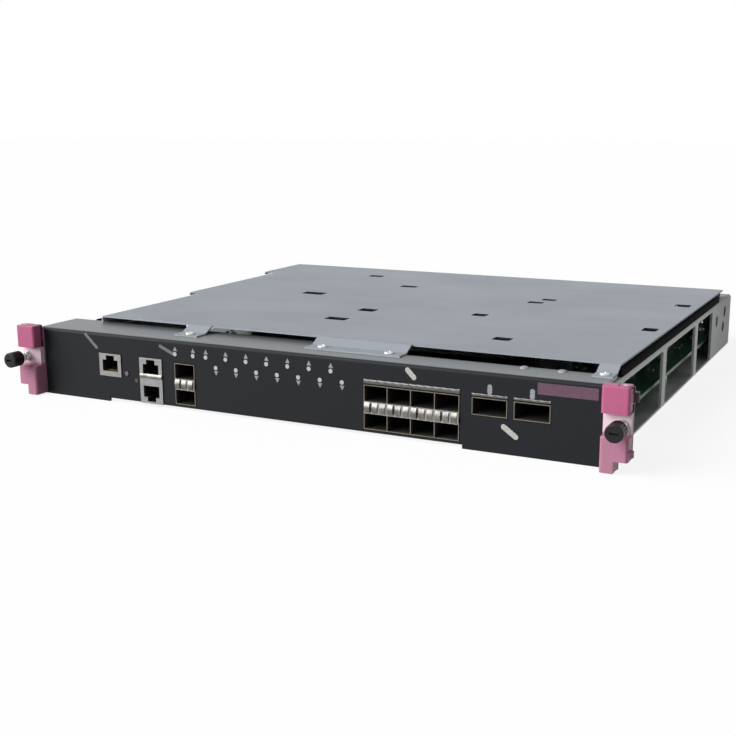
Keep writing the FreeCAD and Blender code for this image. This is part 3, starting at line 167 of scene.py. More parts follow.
# Circuit board: glass-epoxy laminate under a green solder mask. Copper tracks show through the mask
# as lighter bundles: the crests of a wave across the board, stronger or weaker by square patches.
mask = finish("board_green", (0.008, 0.040, 0.020), (0.014, 0.060, 0.030), (0.28, 0.40), grain=70,
              shine=0.2)
board_place = add_node(mask, "TexCoord")
tracks = add_node(mask, "TexWave", Scale=230.0)
tracks.bands_direction = "Y"
patches = add_node(mask, "TexVoronoi", Scale=42.0)
patches.distance = "CHEBYCHEV"
crests = add_node(mask, "MapRange", From_Min=0.55, From_Max=0.75)
chosen = add_node(mask, "Math")
chosen.operation = "MULTIPLY"
link(mask,
     (board_place.outputs["Object"], tracks.inputs["Vector"]),
     (board_place.outputs["Object"], patches.inputs["Vector"]),
     (tracks.outputs["Fac"], crests.inputs["Value"]),
     (crests.outputs["Result"], chosen.inputs[0]),
     (patches.outputs["Color"], chosen.inputs[1]),
     (chosen.outputs["Value"], lay_over(mask, (0.035, 0.13, 0.05))))
dress(mask, "main_board")

# Standoffs and board screws: hexagonal plated pillars riveted to the tray, and pan-headed steel
# screws with a cross recess that hold the board down on them.
steel = finish("bright_steel", (0.50, 0.50, 0.49), (0.66, 0.66, 0.64), (0.24, 0.36), metal=1.0,
               grain=900)
dress(steel, "board_standoffs")


def islands(part):
    """Low and high corners of the separate solids of a CAD node, in mm. Points at one place count
    as one, and each takes the lowest label among the points it shares an edge with, until none
    changes."""
    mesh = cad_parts[part].data
    points = np.array([point.co for point in mesh.vertices]) / mm
    points, order = np.unique(np.round(points, 3), axis=0, return_inverse=True)
    ends = order.reshape(-1)[np.array([edge.vertices[:] for edge in mesh.edges])]
    label, lower = None, np.arange(len(points))
    while not np.array_equal(label, lower):
        label = lower.copy()
        least = label[ends].min(1)
        np.minimum.at(lower, ends[:, 0], least)
        np.minimum.at(lower, ends[:, 1], least)
        lower = lower[lower]
    groups = [points[label == k] for k in np.unique(label)]
    return (np.array([group.min(0) for group in groups]),
            np.array([group.max(0) for group in groups]))


def skin(name, rings, made, body):
    """Skin over rings of points, shaped (copies, rings, points, 3): each ring is joined to the next
    and both ends are closed. Rings run anticlockwise about the way they follow each other. Edges
    sharper than the crease angle stay sharp."""
    crease = math.radians(44)
    copies, steps, count, _ = rings.shape
    order = np.arange(copies * steps * count).reshape(copies, steps, count)
    near, far = order[:, :-1], order[:, 1:]
    sides = np.stack([near, np.roll(near, -1, 2), np.roll(far, -1, 2), far], -1).reshape(-1, 4)
    ends = np.concatenate([order[:, 0, ::-1], order[:, -1]])
    mesh = bpy.data.meshes.new(name)
    mesh.from_pydata((rings.reshape(-1, 3) * mm).tolist(), [], sides.tolist() + ends.tolist())
    mesh.shade_smooth()
    mesh.set_sharp_from_angle(angle=crease)
    mesh.materials.append(made)
    piece = bpy.data.objects.new(name, mesh)
    scene.collection.objects.link(piece)
    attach(piece, body)
    return piece


def turned(middles, radius, height):
    """Rings about upright axes: the radius goes by ring and by place round the ring, the height by
    copy and ring."""
    angle = np.linspace(0, 2 * math.pi, radius.shape[1], endpoint=False)
    wide = np.stack([radius * np.cos(angle), radius * np.sin(angle)], -1)
    flat = middles[:, None, None, :2] + wide[None]
    high = np.broadcast_to(height[:, :, None, None], flat.shape[:3] + (1,))
    return np.concatenate([flat, high], -1)


def screws(name, part, head):
    """Pan-headed screws in place of a CAD node's: a turned profile of shank and head whose last two
    rings follow a cross, each point at the farther of the two bars' edges but not beyond the arms'
    ends."""
    low, high = islands(part)
    outer = (high[0, 0] - low[0, 0]) / 2
    shank, half_bar, arm, taper, points = 1.45, 0.42, 0.56 * outer, 0.8, 32
    shoulder, crown = 0.93 * outer, 0.72 * outer
    wall_drop, shoulder_drop, recess = 0.45 * head, 0.12 * head, 0.7 * head
    angle = np.linspace(0, 2 * math.pi, points, endpoint=False)
    edges = half_bar / np.maximum(np.abs([np.sin(angle), np.cos(angle)]), 1e-6)
    cross = np.minimum(edges.max(0), arm)
    profile = np.array([shank, shank, outer, outer, shoulder, crown])
    radius = np.concatenate([profile[:, None] + 0 * angle, [cross, taper * cross]])
    drop = np.array([head, head, wall_drop, shoulder_drop, 0, 0, recess])
    height = np.concatenate([low[:, 2:], high[:, 2:] - drop], 1)
    piece = skin(name, turned((low + high) / 2, radius, height), steel, "module")
    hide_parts(part)


screws("board_screw_set", "board_screws", head=1.8)

# Small board parts: ceramic chips with tinned ends and moulded packages, placed by machine on a
# coarse raster and soldered down between the larger parts. Each is a straight-sided block with a
# bevelled top.
def blocks(centres, sizes, bevel):
    """Rings of upright blocks: a rectangle of each size carried up its height, then drawn in by the
    bevel."""
    corner = np.array([(-1, -1), (1, -1), (1, 1), (-1, 1)]) / 2
    shrink = np.array([0, 0, bevel])
    level = np.stack([0 * sizes[:, 2], sizes[:, 2] - bevel, sizes[:, 2]], 1)
    wide = sizes[:, None, None, :2] - 2 * shrink[None, :, None, None]
    flat = centres[:, None, None, :2] + corner[None, None] * wide
    high = np.broadcast_to((centres[:, 2:3] + level)[:, :, None, None], flat.shape[:3] + (1,))
    return np.concatenate([flat, high], -1)


board_low, board_high = corners("main_board")
larger_parts = (
    "console_jack", "management_jack_upper", "sfp_pair_upper", "sfp_bank_upper",
    "uplink_cage_inner", "uplink_cage_outer", "processor_heat_sink", "switch_heat_sink",
    "memory_socket", "memory_module", "power_converter", "power_coils", "capacitors",
    "cell_holder", "signal_connectors", "power_connector", "guide_socket_left",
    "guide_socket_right", "reset_switch")
taken = np.array([corners(part)[:, :2] for part in larger_parts])
tries, raster, spots_per_package = 900, 6.5, 5
side_margin, front_margin, rear_margin = 6, 14, 12
part_room, screw_room = 5, 8
chance = np.random.default_rng(seed=7)
spots_x = chance.uniform(board_low[0] + side_margin, board_high[0] - side_margin, tries)
spots_y = chance.uniform(board_low[1] + front_margin, board_high[1] - rear_margin, tries)
spots = np.unique(np.round(np.stack([spots_x, spots_y], 1) / raster) * raster, axis=0)
heads = np.mean(islands("board_screws"), 0)[:, :2]
before = spots[:, None] < taken[:, 0] - part_room
beyond = spots[:, None] > taken[:, 1] + part_room
free = (before | beyond).any(-1).all(1)
free &= np.all(np.linalg.norm(spots[:, None] - heads[None], axis=-1) > screw_room, 1)
spots = spots[free]
package = chance.integers(0, spots_per_package, len(spots)) == 0
passive = ~package
turn = chance.integers(0, 2, len(spots)).astype(bool)[:, None]
at = np.column_stack([spots, np.full(len(spots), board_high[2])])
moulded = finish("chip_black", (0.010, 0.010, 0.011), (0.022, 0.022, 0.024), (0.45, 0.62),
                 grain=500, relief=0.15)
package_sizes = np.array([(5.0, 4.0, 1.5), (4.0, 4.0, 0.9)])
large = package_sizes[chance.integers(0, len(package_sizes), len(spots))]
skin("board_packages", blocks(at[package], large[package], bevel=0.15), moulded, "module")
ceramic = finish("chip_ceramic", (0.16, 0.10, 0.055), (0.26, 0.17, 0.09), (0.4, 0.55), grain=700)
small = np.where(turn, (1.4, 2.2, 1.0), (2.2, 1.4, 1.0))
skin("board_passives", blocks(at[passive], small[passive], bevel=0.1), ceramic, "module")
shift = np.where(turn, (0.0, 1.25, 0.0), (1.25, 0.0, 0.0))[passive]
caps = np.where(turn, (1.44, 0.5, 1.04), (0.5, 1.44, 1.04))[passive]
pads = np.concatenate([at[passive] + shift, at[passive] - shift])
skin("passive_ends", blocks(pads, np.concatenate([caps, caps]), bevel=0.1), steel, "module")

# Coolers and their chips: flat moulded packages, each under a block of extruded aluminium with
# upright fins, etched to a dark grey.
aluminium = finish("sink_aluminium", (0.075, 0.077, 0.080), (0.115, 0.118, 0.122), (0.4, 0.52),
                   metal=0.7, grain=60, stretch=(1, 18, 18))
dress(aluminium, "processor_heat_sink", "switch_heat_sink")
dress(moulded, "processor_chip", "switch_chip")

# Memory, converter and clock cell: a card with moulded packages in a sprung socket, a brick
# converter with its coils and sleeved cans, and a coin cell in a clip.
card = finish("card_green", (0.010, 0.048, 0.024), (0.016, 0.066, 0.034), (0.28, 0.40), grain=300)
card_top = corners("memory_module")[1][2]
package_foot = card_top - 1.2
turn_to(card, "Z", package_foot, package_foot + 0.1, (0.016, 0.016, 0.018))
dress(card, "memory_module")
sleeve = finish("can_sleeve", (0.012, 0.014, 0.020), (0.022, 0.025, 0.034), (0.3, 0.4), grain=400)
can_top = corners("capacitors")[1][2]
sleeve_end = can_top - 0.5
turn_to(sleeve, "Z", sleeve_end, sleeve_end + 0.1, (0.55, 0.56, 0.57), metal=0.9)
dress(sleeve, "capacitors")
dress(moulded, "power_coils", "power_converter", "reset_switch")
socket = finish("connector_plastic", (0.05, 0.05, 0.055), (0.085, 0.085, 0.09), (0.42, 0.55),
                grain=350, relief=0.1)
dress(socket, "memory_socket", "cell_holder")
dress(steel, "clock_cell")

# Rear connectors: black moulded shells with upright wafers, gilt contact strips on both sides of
# each wafer, brass power blades and two flared sockets for the chassis's guide pins.
dress(socket, "signal_connectors", "power_connector", "guide_socket_left", "guide_socket_right")
brass = finish("blade_brass", (0.50, 0.36, 0.13), (0.68, 0.50, 0.20), (0.25, 0.36), metal=1.0,
               grain=600)
dress(brass, "power_blades")
shell_wall, wafers, wafer_thick = 1.5, 5, 1.2
rows, row_pitch, first_row = 6, 1.75, 0.6
strip_size, strip_depth, strip_lift = (0.14, 5.6, 0.8), 3.2, 0.05
shell_low, shell_high = islands("signal_connectors")
wafer_pitch = (shell_high[:, 0] - shell_low[:, 0] - 2 * shell_wall) / wafers
lane = shell_low[:, :1] + shell_wall + (np.arange(wafers) + 0.5) * wafer_pitch[:, None]
lane = np.stack([lane - wafer_thick / 2 - strip_lift, lane + wafer_thick / 2 + strip_lift], -1)
level = shell_low[0, 2] + shell_wall + first_row + np.arange(rows) * row_pitch
depth = [shell_high[0, 1] - shell_wall - strip_depth]
strips = np.stack(np.meshgrid(lane.reshape(-1), depth, level, indexing="ij"), -1).reshape(-1, 3)
skin("wafer_contacts", blocks(strips, np.broadcast_to(strip_size, strips.shape), bevel=0.04), brass,
     "module")

# Module cages: tinned copper-alloy sheet, folded and clipped to the board, dull at the panel and
# nearly black behind it as painted shade inside the ports, with moulded receptacles at their backs
# and a zigzag strip across the front of each stack.
cage = finish("cage_metal", (0.145, 0.126, 0.102), (0.215, 0.190, 0.156), (0.32, 0.46), metal=0.9,
              grain=240, stretch=(1, 1, 6))
# Painted shade: just behind the panel's face the cages turn nearly black and lose most of their
# metalness.
turn_to(cage, "Y", face_y + 0.2, face_y + 3.0, (0.026, 0.026, 0.027), metal=0.2)
dress(cage, "sfp_pair_upper", "sfp_pair_lower", "sfp_bank_upper", "sfp_bank_lower",
      "uplink_cage_inner", "uplink_cage_outer")
dress(moulded, "host_connectors")
bronze = finish("spring_bronze", (0.30, 0.28, 0.26), (0.40, 0.38, 0.35), (0.30, 0.42), metal=0.9,
                grain=1400)
dress(bronze, "pair_spring_strip", "bank_spring_strip")

# Strip leaves: bright tinned spring leaves, three to a port, bowed out from each zigzag strip to
# touch the plug's shell, and one long leaf across the middle of the stacked jacks.
def leaf(middles, width, height, stand, bow):
    """Rings of upright leaves: a thin rectangle carried up the height, which stands off the panel
    by stand plus the bow times the sine of the height's share."""
    steps, thick = 13, 0.15
    share = np.linspace(0, 1, steps)
    out = stand + bow * np.sin(np.pi * share)
    corner = np.array([(-0.5, 0.0), (0.5, 0.0), (0.5, 1.0), (-0.5, 1.0)])
    rings = np.empty((len(middles), steps, 4, 3))
    rings[..., 0] = middles[:, None, None, 0] + width * corner[:, 0]
    rings[..., 1] = face_y - out[:, None] + thick * corner[:, 1]
    rings[..., 2] = middles[:, None, None, 1] + height * (share[:, None] - 0.5)
    return rings


tin = finish("bright_tin", (0.09, 0.086, 0.080), (0.27, 0.262, 0.250), (0.30, 0.44), metal=0.9,
             grain=170)
leaf_middles = []
for part, ports in (("pair_spring_strip", 1), ("bank_spring_strip", 4)):
    low, high = corners(part)
    count = 3 * ports
    across = low[0] + (np.arange(count) + 0.5) * (high[0] - low[0]) / count
    leaf_middles.append(np.stack([across, np.full(count, (low[2] + high[2]) / 2)], 1))
skin("strip_leaves", leaf(np.concatenate(leaf_middles), width=3.3, height=6.0, stand=1.15, bow=0.9),
     tin, "module")
low, high = corners("management_jack_upper")
seam_drop, side_gap = 11.5, 0.3
between_jacks = np.array([((low[0] + high[0]) / 2, high[2] - seam_drop)])
long_leaf = leaf(between_jacks, high[0] - low[0] - 2 * side_gap, height=3.0, stand=0.7, bow=0.5)
skin("jack_leaf", long_leaf, tin, "module")

# Cage gaskets: a row of bowed tinned leaves pressed on the panel's face along the top of the port
# bank and of each wide port, dulled by handling.
def gasket(part, tall):
    """Rings of a gasket above a cage: half an ellipse with a flat back, carried along the cage's
    width, whose reach swells from its least to its full measure and back over each leaf, with the
    sine of the way along the leaf."""
    steps, arc, reach, least, leaf_length, sunk, above = 97, 7, 0.45, 0.45, 4.75, 0.02, 0.5
    low, high = corners(part)
    run = np.linspace(low[0], high[0], steps)
    swell = least + (1 - least) * np.abs(np.sin(np.pi * (run - low[0]) / leaf_length))
    bend = np.linspace(0, np.pi, arc)
    front = swell[:, None] * reach * np.sin(bend)
    out = np.concatenate([front, np.full((steps, 2), -sunk)], 1)
    rise = np.concatenate([0.5 - 0.5 * np.cos(bend), [1.0, 0.0]]) * tall
    return np.stack([run[:, None] + 0 * out, face_y - out, high[2] + above + rise + 0 * out], -1)


dulled = finish("gasket_tin", (0.09, 0.089, 0.087), (0.14, 0.138, 0.134), (0.34, 0.48), metal=0.9,
                grain=700)
gaskets = np.stack([gasket("sfp_bank_upper", tall=2.6), gasket("uplink_cage_inner", tall=1.6),
                    gasket("uplink_cage_outer", tall=1.6)])
skin("cage_gaskets", gaskets[:, :, ::-1], dulled, "module")

# Modular jacks: stamped shields over black mouldings that hold eight gilt wires each, sprung from
# the side opposite the plug's latch.
shield = finish("jack_shield", (0.24, 0.24, 0.24), (0.32, 0.32, 0.32), (0.32, 0.46), metal=0.9,
                grain=240, stretch=(1, 1, 6))
# Painted shade: just behind the panel's face the shields turn nearly black and lose their
# metalness, for the shade inside the jacks.
turn_to(shield, "Y", face_y - 0.1, face_y + 0.9, (0.016, 0.016, 0.017), metal=0.0)
dress(shield, "console_jack", "management_jack_upper", "management_jack_lower")


def tube(paths, across, radius, sides):
    """Rings round paths, shaped (copies, steps, 3): points at equal angles about the path's
    direction, counted from the across direction."""
    along = np.gradient(paths, axis=1)
    along = along / np.linalg.norm(along, axis=-1, keepdims=True)
    across = across - (across * along).sum(-1, keepdims=True) * along
    across = across / np.linalg.norm(across, axis=-1, keepdims=True)
    angle = np.linspace(0, 2 * math.pi, sides, endpoint=False)[:, None]
    upward = np.cross(along, across)
    ring = across[:, :, None] * np.cos(angle) + upward[:, :, None] * np.sin(angle)
    return paths[:, :, None] + radius * ring


def contacts(part, drop, way):
    """Paths of the eight wires in a jack: straight back from behind its mouth, and up or down by a
    lift plus a spring that grows with the 1.5th power of the way back. The floor lies a drop below
    the jack's top."""
    count, pitch, mouth, length, lift, spring, steps = 8, 1.02, 2.5, 9.5, 0.4, 3.0, 9
    low, high = corners(part)
    share = np.linspace(0, 1, steps)
    lanes = (low[0] + high[0]) / 2 + (np.arange(count) - (count - 1) / 2)[:, None] * pitch
    height = high[2] - drop + way * (lift + spring * share ** 1.5)
    return np.stack(np.broadcast_arrays(lanes, low[1] + mouth + length * share, height), -1)


wires = np.concatenate([contacts("console_jack", drop=11.2, way=1),
                        contacts("management_jack_upper", drop=11.2, way=1),
                        contacts("management_jack_lower", drop=1.0, way=-1)])
sideways = np.broadcast_to((1.0, 0, 0), wires.shape)
skin("jack_contacts", tube(wires, sideways, radius=0.2, sides=6), brass, "module")

# Port panel: one folded steel sheet in dark textured powder paint. The top flange and the inner
# faces are left bare, so that they make contact with the cover and the cages.
paint = finish("panel_paint", (0.0105, 0.0115, 0.0135), (0.0165, 0.0180, 0.0210), (0.42, 0.55),
               grain=1500, relief=0.2, shine=0.14)
paint_end = face_y + 0.9
turn_to(paint, "Y", paint_end, paint_end + 0.5, (0.225, 0.240, 0.250), metal=0.7)
dress(paint, "faceplate")

# Printing on the panel: pale screen ink for the marks beside lights and ports and for the slanted
# rules, and a plain mulberry bar near the right end.
def prints(name, outlines, made):
    """Flat prints: each outline, x and z in mm, anticlockwise as seen from the front, carried from
    just under the panel's face to just above it."""
    lift = np.array([0.01, -0.03])
    flat = np.broadcast_to(outlines[:, None], (len(outlines), 2) + outlines.shape[1:])
    deep = np.broadcast_to(face_y + lift[None, :, None], flat.shape[:3])
    return skin(name, np.stack([flat[..., 0], deep, flat[..., 1]], -1), made, "module")


def strokes(starts, ends, width):
    """Outlines of round-ended strokes: half circles about each end, joined by straight sides."""
    arc = 7
    starts, ends = np.array(starts, float), np.array(ends, float)
    way = np.arctan2(*(ends - starts)[:, ::-1].T)[:, None]
    half = np.linspace(-np.pi / 2, np.pi / 2, arc)
    tip = np.stack([np.cos(way + half), np.sin(way + half)], -1) * width / 2
    return np.concatenate([ends[:, None] + tip, starts[:, None] - tip], 1)


ink = finish("pale_ink", (0.22, 0.24, 0.25), (0.32, 0.34, 0.35), (0.5, 0.6), grain=900)
lights_low, lights_high = islands("status_lights")
lights = (lights_low + lights_high)[:, (0, 2)] / 2
row_split, row_floor = 32, 25
upper = lights[lights[:, 1] > row_split]
lower = lights[(lights[:, 1] > row_floor) & (lights[:, 1] < row_split)]
arrow, off_light = np.array([(-1.5, 0), (1.5, 0), (0, 2.8)]), (0, 1.9)
prints("upper_marks", upper[:, None] + off_light + arrow, ink)
prints("lower_marks", lower[:, None] - off_light - arrow, ink)
dim_ink = finish("dim_ink", (0.11, 0.12, 0.13), (0.15, 0.165, 0.175), (0.5, 0.6), grain=900)
rules = strokes([(-150.0, 41.6), (-91.9, 39.0)], [(-141.6, 33.8), (-82.6, 35.0)], width=2.0)
prints("slanted_rules", rules, dim_ink)
wide_ports = ("uplink_cage_inner", "uplink_cage_outer")
mark_low, mark_rise = 32.6, (0, 3.2)
mark_foot = np.array([(corners(part)[:, 0].mean(), mark_low) for part in wide_ports])
prints("port_marks", strokes(mark_foot, mark_foot + mark_rise, width=2.6), ink)
white_ink = finish("white_ink", (0.42, 0.42, 0.39), (0.52, 0.52, 0.48), (0.5, 0.6), grain=900)
pulls = strokes([(130.4, 15.0), (74.6, 40.2)], [(137.2, 10.2), (78.4, 36.4)], width=3.0)
prints("pull_mark", pulls, white_ink)
bar_ink = finish("mulberry_ink", (0.092, 0.042, 0.071), (0.124, 0.060, 0.095), (0.45, 0.55),
                 grain=700)
bar_left, bar_right, bar_low, bar_high = 148.5, 180.5, 34.6, 40.8
label = np.array([[(bar_left, bar_low), (bar_right, bar_low), (bar_right, bar_high),
                   (bar_left, bar_high)]])
prints("label_bar", label, bar_ink)

# Status lights and reset button: clear round pipes pushed in from behind, the low alarm light a
# dark one, and a small moulded plunger.
lens = finish("lens", (0.030, 0.034, 0.034), (0.046, 0.050, 0.050), (0.12, 0.22), grain=800)
alarm_top = 20.0
turn_to(lens, "Z", alarm_top, alarm_top + 2.0, (0.47, 0.51, 0.50))
surface(lens).inputs["Coat Weight"].default_value = 0.6
dress(lens, "status_lights")
button = finish("button_plastic", (0.10, 0.10, 0.105), (0.15, 0.15, 0.155), (0.4, 0.5), grain=600)
dress(button, "reset_button")

# Rail seals: black foam strips with a domed back, cut from a moulded length and glued along the
# tops of both rails, where they fill most of the gap under the cover; their near-black is painted
# shade, standing for the shade of that gap. The dome's width goes with the cosine, and its height
# with the root of the sine, of one angle.
# Painted shade: the foam is nearly black, so that the gap under the cover's edge reads dark.
shade_foam = finish("gap_shade_foam", (0.003, 0.003, 0.0035), (0.007, 0.007, 0.0075), (0.8, 0.95), grain=900,
              relief=0.5, shine=0.05)
tray_low, tray_high = corners("base_tray")
seal_inset, seal_half, seal_tall, dome_points = 4.0, 2.9, 4.6, 9
seal_middles = np.array([tray_low[0] + seal_inset, tray_high[0] - seal_inset])
seal_ends = np.array([face_y + 36.0, face_y + 312.0])
dome = np.linspace(0, np.pi, dome_points)
seals = np.empty((len(seal_middles), len(seal_ends), dome_points, 3))
seals[..., 0] = seal_middles[:, None, None] + seal_half * np.cos(dome)
seals[..., 1] = seal_ends[None, :, None]
seals[..., 2] = tray_high[2] + seal_tall * np.sin(dome) ** 0.5
skin("rail_seals", seals[:, :, ::-1], shade_foam, "module")

# Cover: thin satin zinc-plated sheet, hemmed along its left side and screwed down in front and
# behind. The slots' cut edges carry painted shade, nearly black, for the shade in the holes; folds
# and outer edges keep the plated colour. The rolling grain runs across the module.
lid = finish("cover_sheet", (0.292, 0.319, 0.355), (0.358, 0.385, 0.423), (0.56, 0.70), metal=0.12,
             grain=14, stretch=(1, 1.6, 1), shine=0.25)
sheet_place = add_node(lid, "TexCoord")
drawn = add_node(lid, "Mapping", Scale=(0.02, 1, 1))
rolling = add_node(lid, "TexNoise", Scale=1300.0)
ridges = add_node(lid, "Bump", Strength=0.12, Distance=0.1 * mm)
link(lid,
     (sheet_place.outputs["Object"], drawn.inputs["Vector"]),
     (drawn.outputs["Vector"], rolling.inputs["Vector"]),
     (rolling.outputs["Fac"], ridges.inputs["Height"]),
     (ridges.outputs["Normal"], surface(lid).inputs["Normal"]))
low, high = corners("top_cover")
sheet_top, sheet_under = high[2], high[2] - 1.0
left_fold, right_edge = low[0] + 26.0, high[0] - 0.6
front_edge, rear_fold = face_y + 31.0, high[1] - 11.0
slot_shade, plated = (0.020, 0.021, 0.022), (0.325, 0.352, 0.389)
# Painted shade: below its top face the sheet turns nearly black; the turns after this bring the
# underside, folds and outer edges back to the plated colour, so the slots' cut edges stay dark.
turn_to(lid, "Z", sheet_top - 0.03, sheet_top - 0.08, slot_shade)
for axis, start, end in (("Z", sheet_under, sheet_under - 0.1),
                         ("X", left_fold, left_fold - 2.0), ("X", right_edge, right_edge + 0.2),
                         ("Y", front_edge, front_edge - 0.5), ("Y", rear_fold, rear_fold + 0.5)):
    turn_to(lid, axis, start, end, plated)
dress(lid, "top_cover")
screws("cover_screw_set", "cover_screws", head=0.9)

# Flange rivets: two plated steel rivets with round heads, pressed into the panel's top flange
# between the cover's tabs. A head's radius goes with the cosine, and its height with the sine, of
# one angle.
flange_top, sunk = corners("faceplate")[1][2], 0.05
seat_y = face_y + 17.5
seats = np.array([(135.0, seat_y, 0), (156.0, seat_y, 0)])
head_radius, head_height, head_rings, round_points = 2.6, 1.3, 6, 20
last_angle = np.pi / 2 * 0.95
bulge = np.linspace(0, last_angle, head_rings)
rivet_radius = np.repeat(head_radius * np.cos(bulge)[:, None], round_points, 1)
rivet_height = np.repeat(flange_top - sunk + head_height * np.sin(bulge)[None], len(seats), 0)
skin("flange_rivets", turned(seats, rivet_radius, rivet_height), zinc, "module")

# Panel ends: mulberry mouldings on painted brackets. The upper one is the ejector lever on its
# dowel, its claw and rear part darkened to maroon as painted shade, the lower one a fixed block,
# paler, whose web behind the knob carries a painted highlight, nearly white.
mulberry = finish("mulberry_plastic", (0.47, 0.115, 0.23), (0.52, 0.130, 0.255), (0.36, 0.48),
                  grain=1100, relief=0.12, shine=0.3)
claw_shade_front = face_y - 3.6
# Painted shade: behind the claw's front the lever turns dark maroon, for the shade on its side and
# rear.
turn_to(mulberry, "Y", claw_shade_front, claw_shade_front + 0.4, (0.055, 0.018, 0.032))
dress(mulberry, "ejector_lever_left", "ejector_lever_right")
pale = finish("pale_mulberry", (0.45, 0.19, 0.285), (0.50, 0.215, 0.315), (0.36, 0.48), grain=1100,
              relief=0.12, shine=0.3)
block_top, web_highlight_foot = 19.4, 21.0
# Painted highlight: above the block's top the end blocks turn nearly white, for the light caught by
# the web behind the knob.
turn_to(pale, "Z", block_top, web_highlight_foot, (0.86, 0.66, 0.75))
dress(pale, "end_block_left", "end_block_right")
ear_paint = finish("mulberry_paint", (0.42, 0.17, 0.26), (0.48, 0.20, 0.30), (0.40, 0.52),
                   grain=1500, relief=0.1, shine=0.3)
dress(ear_paint, "ear_bracket_left", "ear_bracket_right")
dress(steel, "lever_pin_left", "lever_pin_right", "screw_ferrule_left", "screw_ferrule_right")

# Captive screws: black moulded knobs on steel shanks that slide through a pressed-in ferrule, each
# thrown forward by a coil spring between the ferrule and a collar. The end of the shank carries a
# rolled thread.
black = finish("black_plastic", (0.0045, 0.0045, 0.005), (0.010, 0.010, 0.011), (0.35, 0.5),
               grain=900, relief=0.1, shine=0.25)
dress(black, "thumb_knob_left", "thumb_knob_right")
dress(steel, "screw_collar_left", "screw_collar_right")


def threaded(low, high):
    """Rings of a shank along y that fills a box: over the thread, the radius falls from the crest
    in proportion to the distance from a helix, the cut deepening over the first turn, and the nose
    tapers to the end."""
    pitch, thread, cut_depth, nose_length, nose_depth = 0.7, 11.0, 0.36, 1.0, 0.6
    points, steps = 24, 241
    middle, length = (low + high) / 2, high[1] - low[1]
    angle = np.linspace(0, 2 * math.pi, points, endpoint=False)
    along = np.concatenate([[0.0], np.linspace(length - thread, length, steps)])[:, None]
    valley = np.abs((along / pitch - angle / (2 * math.pi)) % 1 - 0.5) * 2
    cut = np.clip((along - along[1]) / pitch, 0, 1) * cut_depth * valley
    nose = np.clip((along - along[-1] + nose_length) / nose_length, 0, 1) * nose_depth
    radius = (high[0] - low[0]) / 2 - cut - nose
    return np.stack([middle[0] + radius * np.sin(angle), low[1] + along + 0 * radius,
                     middle[2] + radius * np.cos(angle)], -1)[None]


def coil(middle, front, back):
    """Rings of a spring along y between two faces: a round wire along a helix whose first and last
    turns lie flat and whose lead is even between them."""
    gauge, radius, turns, play, steps = 0.3, 2.5, 6.5, 0.05, 209
    run = np.linspace(0, 1, steps)
    lead = np.clip((run * turns - 1) / (turns - 2), 0, 1)
    angle = 2 * math.pi * turns * run
    radial = np.stack([np.cos(angle), 0 * angle, np.sin(angle)], -1)
    ahead = front + gauge + play + lead * (back - front - 2 * gauge - 2 * play)
    path = radial * radius + np.stack([0 * run + middle[0], ahead, 0 * run + middle[2]], -1)
    return tube(path[None], radial[None], radius=gauge, sides=12)


for side in ("left", "right"):
    low, high = corners("screw_shank_" + side)
    middle = (low + high) / 2
    shank = skin("threaded_shank_" + side, threaded(low, high), steel, "screw_" + side)
    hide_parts("screw_shank_" + side)
    front = corners("screw_collar_" + side)[1][1]
    back = corners("screw_ferrule_" + side)[0][1]
    spring = skin("coil_spring_" + side, coil(middle, front, back), steel, "module")
    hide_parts("screw_spring_" + side)
    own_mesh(spring)

# Studio: white ground that keeps a soft shadow, one wide lamp from the upper left front with a weak
# one from the front, and the camera of the photograph.
def seen(made, first, *others):
    """Output that is 1 for the kinds of ray that are named: the greatest of their marks."""
    rays = add_node(made, "LightPath")
    share = rays.outputs[first]
    for other in others:
        greater = add_node(made, "Math")
        greater.operation = "MAXIMUM"
        link(made, (share, greater.inputs[0]), (rays.outputs[other], greater.inputs[1]))
        share = greater.outputs["Value"]
    return share


ground = bpy.data.materials.new("ground")
ground.use_nodes = True
glow = add_node(ground, "Emission", Strength=1.08)
matt = add_node(ground, "BsdfDiffuse", Color=(0.8, 0.8, 0.8, 1))
grey = add_node(ground, "BsdfDiffuse", Color=(0.3, 0.3, 0.3, 1))
shown = add_node(ground, "MixShader", Fac=0.20)
which = add_node(ground, "MixShader")
link(ground,
     (glow.outputs["Emission"], shown.inputs[1]),
     (matt.outputs["BSDF"], shown.inputs[2]),
     (seen(ground, "Is Camera Ray", "Is Glossy Ray", "Is Transmission Ray"), which.inputs["Fac"]),
     (grey.outputs["BSDF"], which.inputs[1]),
     (shown.outputs["Shader"], which.inputs[2]),
     (which.outputs["Shader"], ground.node_tree.nodes["Material Output"].inputs["Surface"]))
half, under = 8, -0.0002
ground_sheet = bpy.data.meshes.new("floor")
ground_sheet.from_pydata([(-half, -half, under), (half, -half, under), (half, half, under),
                          (-half, half, under)], [], [(0, 1, 2, 3)])
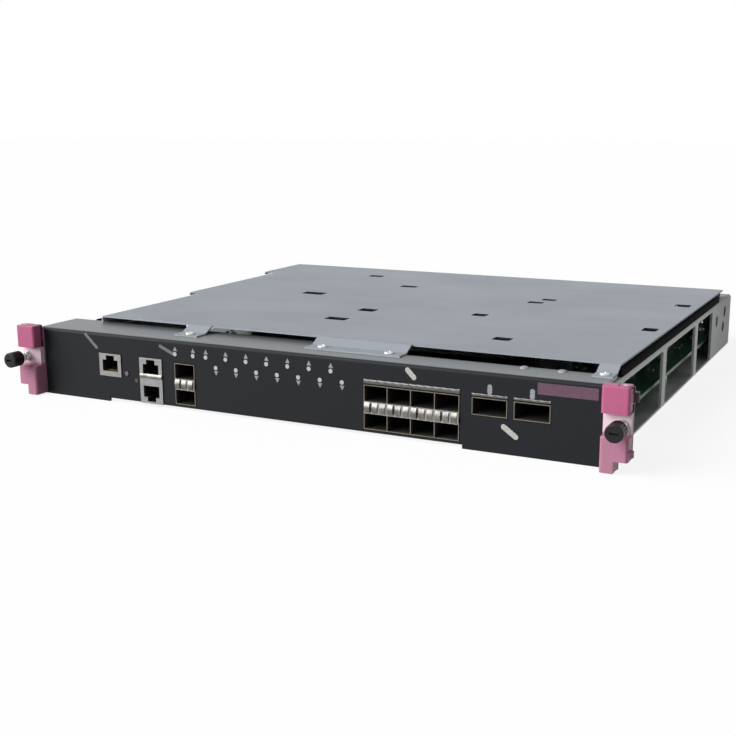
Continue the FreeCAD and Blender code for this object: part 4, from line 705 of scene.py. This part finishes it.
ground_sheet.materials.append(ground)
floor = bpy.data.objects.new("floor", ground_sheet)
scene.collection.objects.link(floor)

world = bpy.data.worlds.new("studio")
scene.world = world
world.use_nodes = True
around = world.node_tree.nodes["Background"]
around.inputs["Color"].default_value = (1, 1, 1, 1)
around.inputs["Strength"].default_value = 0.18
backdrop = add_node(world, "Background", Color=(1, 1, 1, 1), Strength=1.0)
pick = add_node(world, "MixShader")
link(world,
     (seen(world, "Is Camera Ray", "Is Glossy Ray", "Is Transmission Ray"), pick.inputs["Fac"]),
     (around.outputs["Background"], pick.inputs[1]),
     (backdrop.outputs["Background"], pick.inputs[2]),
     (pick.outputs["Shader"], world.node_tree.nodes["World Output"].inputs["Surface"]))

for name, towards, power, spread in (("key", (-0.62, -0.62, 0.50), 3.6, 50.0),
                                     ("fill", (-0.15, -1.0, 0.12), 0.5, 90.0)):
    light = bpy.data.lights.new(name, "SUN")
    light.energy = power
    light.angle = math.radians(spread)
    lamp = bpy.data.objects.new(name, light)
    scene.collection.objects.link(lamp)
    behind = np.array(towards) / np.linalg.norm(towards)
    beside = np.cross((0, 0, 1), behind)
    beside = beside / np.linalg.norm(beside)
    aim = Matrix(np.column_stack([beside, np.cross(behind, beside), behind]).tolist())
    lamp.matrix_world = Matrix.Translation(behind) @ aim.to_4x4()

yaw, pitch, roll = math.radians(27.2), math.radians(12.45), math.radians(-0.3)
focal_pixels, picture_pixels, sensor = 1127, 736, 36.0
viewpoint = (0.3285, (face_y - 541.0) * mm, 0.1733)
optics = bpy.data.cameras.new("photo_camera")
optics.sensor_width = sensor
optics.lens = sensor * focal_pixels / picture_pixels
camera = bpy.data.objects.new("photo_camera", optics)
aim = (Matrix.Rotation(yaw, 3, "Z") @ Matrix.Rotation(math.pi / 2 - pitch, 3, "X")
       @ Matrix.Rotation(roll, 3, "Z"))
camera.matrix_world = Matrix.Translation(viewpoint) @ aim.to_4x4()
scene.collection.objects.link(camera)
scene.camera = camera
scene.view_settings.view_transform = "Standard"
